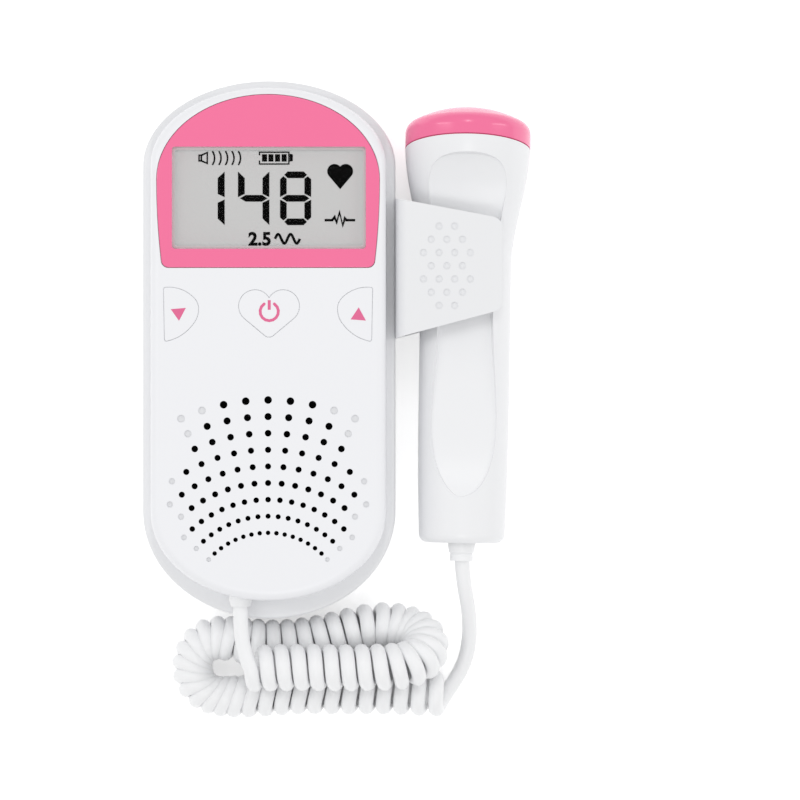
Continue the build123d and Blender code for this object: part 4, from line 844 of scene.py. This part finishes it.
def cut_loop(node, height):
    """The outline of a node at one height, as points in millimetres in their order."""
    bm = bmesh.new()
    bm.from_mesh(frame["nodes"][node].data)
    bmesh.ops.remove_doubles(bm, verts=bm.verts, dist=1e-7)
    everything = bm.verts[:] + bm.edges[:] + bm.faces[:]
    bmesh.ops.bisect_plane(bm, geom=everything, plane_co=(0, 0, height * MM), plane_no=(0, 0, 1),
                           clear_inner=True, clear_outer=True)
    bm.verts.ensure_lookup_table()
    first = bm.verts[0]
    loop, edge = [first], first.link_edges[0]
    while True:
        following = edge.other_vert(loop[-1])
        if following is first:
            break
        loop.append(following)
        edge = next(e for e in following.link_edges if e is not edge)
    points = [(v.co.x / MM, v.co.y / MM) for v in loop]
    bm.free()
    return points


def grown(loop, distance):
    """A closed outline moved outwards by a distance."""
    area = sum(a[0] * b[1] - b[0] * a[1] for a, b in zip(loop, loop[1:] + loop[:1]))
    way = 1 if area > 0 else -1
    moved = []
    for k, (x, y) in enumerate(loop):
        run = Vector(loop[(k + 1) % len(loop)]) - Vector(loop[k - 1])
        run.normalize()
        moved.append((x + run.y * distance * way, y - run.x * distance * way))
    return moved


for button in ("power_button", "volume_down_button", "volume_up_button"):
    edge_loop = cut_loop(button, WEB_LOW)
    web = [grown(edge_loop, WEB_NEAR), grown(edge_loop, WEB_FAR)]
    outlined(button + "_web", web, WEB_LOW, WEB_THICKNESS, FINISHES["white_shell"],
             "unit", "white_shell")

# %% [markdown]
# ## Floor
# The floor is a large pale plane. A plain white plane turns grey under soft
# light. This one also glows a little towards the camera and in reflections, so it
# shows white and keeps the soft shadow of the monitor, but sheds no extra light
# on the monitor from below.

# %% Floor
FLOOR_HALF, FLOOR_LEVEL = 3.0, -0.0003
GLOW = 0.5


def white_floor():
    """A matt white that glows only towards the camera, mirrors and clear panes."""
    material, nodes, links = new_material("floor_white")
    place = add(nodes, "ShaderNodeTexCoord")
    grain = add(nodes, "ShaderNodeTexNoise", Scale=40.0, Detail=3.0)
    links.new(place.outputs["Object"], grain.inputs["Vector"])
    tint = two_tone(nodes, (0.94, 0.94, 0.94), (0.96, 0.96, 0.96))
    links.new(grain.outputs["Fac"], tint.inputs["Fac"])
    matt = add(nodes, "ShaderNodeBsdfDiffuse")
    links.new(tint.outputs["Color"], matt.inputs["Color"])
    glow = add(nodes, "ShaderNodeEmission")
    glow.inputs["Strength"].default_value = GLOW
    path = add(nodes, "ShaderNodeLightPath")
    seen_rays = add(nodes, "ShaderNodeMath", operation="MAXIMUM")
    links.new(path.outputs["Is Camera Ray"], seen_rays.inputs[0])
    links.new(path.outputs["Is Glossy Ray"], seen_rays.inputs[1])
    all_rays = add(nodes, "ShaderNodeMath", operation="MAXIMUM")
    links.new(seen_rays.outputs[0], all_rays.inputs[0])
    links.new(path.outputs["Is Transmission Ray"], all_rays.inputs[1])
    both = add(nodes, "ShaderNodeAddShader")
    links.new(matt.outputs[0], both.inputs[0])
    links.new(glow.outputs[0], both.inputs[1])
    mix = add(nodes, "ShaderNodeMixShader")
    links.new(all_rays.outputs[0], mix.inputs["Fac"])
    links.new(matt.outputs[0], mix.inputs[1])
    links.new(both.outputs[0], mix.inputs[2])
    out = add(nodes, "ShaderNodeOutputMaterial")
    links.new(mix.outputs[0], out.inputs["Surface"])
    return material


floor_mesh = bpy.data.meshes.new("floor")
sheet = bmesh.new()
bmesh.ops.create_grid(sheet, x_segments=1, y_segments=1, size=FLOOR_HALF)
bmesh.ops.translate(sheet, vec=(0, 0, FLOOR_LEVEL), verts=sheet.verts)
sheet.to_mesh(floor_mesh)
sheet.free()
floor = placed("floor", floor_mesh)
floor_mesh.materials.append(white_floor())
print("floor", 2 * FLOOR_HALF, "m wide")

# %% [markdown]
# ## Light
# White plastic on a white floor needs light from all round, so the world is an
# even pale light that does most of the work. High lamps beyond the monitor's head
# and foot reach down between the lid and the probe's holder, and neither hangs
# where the display would mirror it. A lamp low on either side gives the pink cap
# its shine.

# %% Lamps
SKY_STRENGTH = 0.74
LAMP_WIDTH = 0.1
# name, place, length in metres, power in watts
LAMPS = [
    ("head_lamp", (0.033, 0.62, 1.35), 0.4, 1.6),
    ("foot_lamp", (0.033, -0.64, 1.35), 0.4, 1.6),
    ("right_lamp", (0.9, 0.15, 0.5), 0.5, 0.8),
    ("left_lamp", (-0.65, 0.15, 0.7), 0.5, 0.9),
]

world = bpy.data.worlds.new("studio")
world.use_nodes = True
sky = world.node_tree.nodes["Background"]
sky.inputs["Color"].default_value = (1, 1, 1, 1)
sky.inputs["Strength"].default_value = SKY_STRENGTH
bpy.context.scene.world = world


def soft_lamp(name, place, length, power):
    """A narrow rectangular lamp that looks at the monitor, with its length along the monitor."""
    lamp = placed(name, bpy.data.lights.new(name, "AREA"))
    lamp.data.shape = "RECTANGLE"
    lamp.data.size = LAMP_WIDTH
    lamp.data.size_y = length
    lamp.data.energy = power
    lamp.location = place
    aim = Vector((*VIEW_CENTRE, 0)) - Vector(place)
    lamp.rotation_mode = "QUATERNION"
    lamp.rotation_quaternion = aim.to_track_quat("-Z", "Y")


for row in LAMPS:
    soft_lamp(*row)
print("lamps", [row[0] for row in LAMPS])
